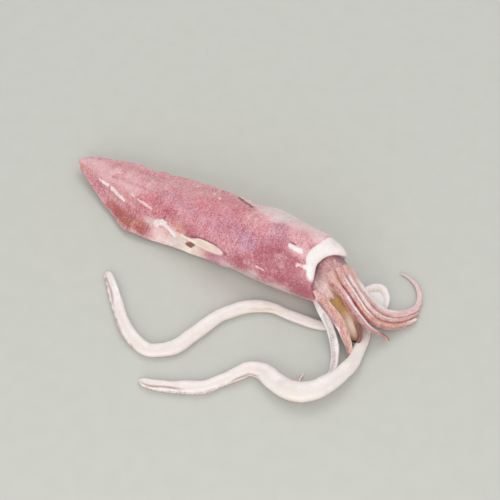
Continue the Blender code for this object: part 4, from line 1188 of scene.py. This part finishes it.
def funnel_object():
    """A short flattened spout, open in front, with a thin turned lip."""
    route = smooth_route(FUNNEL_ROUTE, 0.5)
    share = np.linspace(0, 1, len(route))
    half = eased(FUNNEL_HALF_WIDTHS, share)
    side, back, ahead = route_frames(route, np.zeros(len(route)))
    phi = np.radians(np.linspace(-180, 180, 56, endpoint=False))
    flatness = 0.34
    profile = np.broadcast_to(np.stack((np.sin(phi), np.cos(phi) * flatness), axis=-1), (len(route), 56, 2))
    outside = tube_rings(route, side, back, half, profile)
    wall = 0.9
    mouth = []
    for turn in np.linspace(0.2, 1, 5):
        drawn = 1 - (1 - cos(turn * pi)) / 2 * wall / half[-1] * np.array((1, 1))
        ring = tube_rings(route[-1:], side[-1:], back[-1:], half[-1:], profile[-1:] * drawn)[0]
        mouth.append(ring + ahead[-1] * 0.5 * sin(turn * pi))
    inside = []
    for i in range(len(route) - 2, len(route) // 2, -1):
        inside.append(tube_rings(route[i:i + 1], side[i:i + 1], back[i:i + 1], half[i:i + 1] - wall, profile[:1])[0])
    rings = np.concatenate((outside, np.array(mouth), np.array(inside)))
    rings[:, :, 2] = np.maximum(rings[:, :, 2], 0.5)
    obj = skin_object("funnel_spout", rings)
    p = rings.reshape(-1, 3)
    tint = mixed(np.broadcast_to(np.array((0.82, 0.72, 0.68)), (*rings.shape[:2], 3)), (0.74, 0.52, 0.50),
                 smooth(0.0, 0.9, noise(p, 4, 97, 2).reshape(rings.shape[:2])) * 0.6)
    add_colour(obj, "tint", tint)
    obj.data.materials.append(SKINS["pale"])
    return obj


def eye_glass():
    f = Finish("eye_glass")
    where = f.place()
    tint = f.attribute("tint", "Color")
    cloud = f.noise(where, 900.0, 3.0, 0.6)
    colour = f.blend(f.range(cloud, 0.4, 0.7, 0.0, 0.25), tint, (0.55, 0.50, 0.50))
    return f.wet(colour, 0.12, f.bump(cloud, 0.06, 0.0004), 0.9, 0.03, 0.02, 0.001)


def cup_skin(name, colour, deep):
    f = Finish(name)
    where = f.place()
    cloud = f.noise(where, 600.0, 3.0, 0.6)
    tint = f.blend(f.range(cloud, 0.35, 0.7), colour, deep)
    return f.wet(tint, 0.32, f.bump(cloud, 0.25, 0.0005), 0.4, 0.1, 0.2, 0.002)


SKINS = {
    "arm": speckled_skin("arm_skin", 1.1, (0.30, 0.06, 0.04)),
    "head": speckled_skin("head_skin", 1.3, (0.28, 0.05, 0.06)),
    "pale": pale_flesh("pale_flesh"),
    "eye": eye_glass(),
    "cup": cup_skin("sucker_cup", (0.88, 0.80, 0.77), (0.78, 0.62, 0.60)),
    # the sucker's sunk disc is painted dark: painted shade of the cup's hollow
    "cup_hollow": cup_skin("sucker_hollow", (0.55, 0.34, 0.32), (0.40, 0.22, 0.22)),
}

# ---------------------------------------------------------------- floor and light


def make_floor():
    mesh = bpy.data.meshes.new("table_top")
    r = 3.0
    mesh.from_pydata([(-r, -r, 0), (r, -r, 0), (r, r, 0), (-r, r, 0)], [], [(0, 1, 2, 3)])
    floor = bpy.data.objects.new("table_top", mesh)
    bpy.context.scene.collection.objects.link(floor)
    f = Finish("table_top_paint")
    fine = f.noise(f.place(), 60.0, 3.0)
    f.put(f.blend(f.range(fine, 0.3, 0.7), (0.585, 0.59, 0.54), (0.60, 0.605, 0.555)), f.shader.inputs["Base Color"])
    f.shader.inputs["Roughness"].default_value = 0.9
    mesh.materials.append(f.material)


def make_lights():
    world = bpy.data.worlds.new("studio")
    bpy.context.scene.world = world
    world.use_nodes = True
    back = world.node_tree.nodes["Background"]
    back.inputs["Color"].default_value = (1.0, 1.0, 1.0, 1.0)
    back.inputs["Strength"].default_value = 0.66
    for name, place, size, power in (
            ("key", (-0.25, 0.75, 1.3), 0.8, 4.4), ("fill", (0.9, -0.5, 1.2), 1.2, 2.6),
            ("front", (0.35, -1.25, 0.55), 1.2, 8.0)):
        light = bpy.data.lights.new(name, "AREA")
        light.size = size
        light.energy = power
        lamp = bpy.data.objects.new(name, light)
        lamp.location = place
        lamp.rotation_euler = (Vector((0.04, -0.04, 0)) - Vector(place)).to_track_quat("-Z", "Y").to_euler()
        bpy.context.scene.collection.objects.link(lamp)


def place_piece(piece, slot, *nodes):
    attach(piece, "root")
    if nodes:
        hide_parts(*nodes)


make_floor()
make_lights()
place_piece(mantle_object(), "mantle_skin", "mantle", "fin_left", "fin_right")
place_piece(head_object(), "head_skin", "head")
place_piece(eye_object("eye_left"), "eye", "eye_left")
place_piece(eye_object("eye_right"), "eye", "eye_right")
place_piece(funnel_object(), "funnel_flesh", "funnel")
for limb in ARM_ROUTES:
    place_piece(arm_object(limb), "arm_skin", limb)
for limb in TENTACLE_ROUTES:
    place_piece(tentacle_object(limb), "tentacle_flesh", limb)
for web in WEBS:
    place_piece(web_object(web), "arm_skin")
place_piece(suckers_object(), "tentacle_flesh")
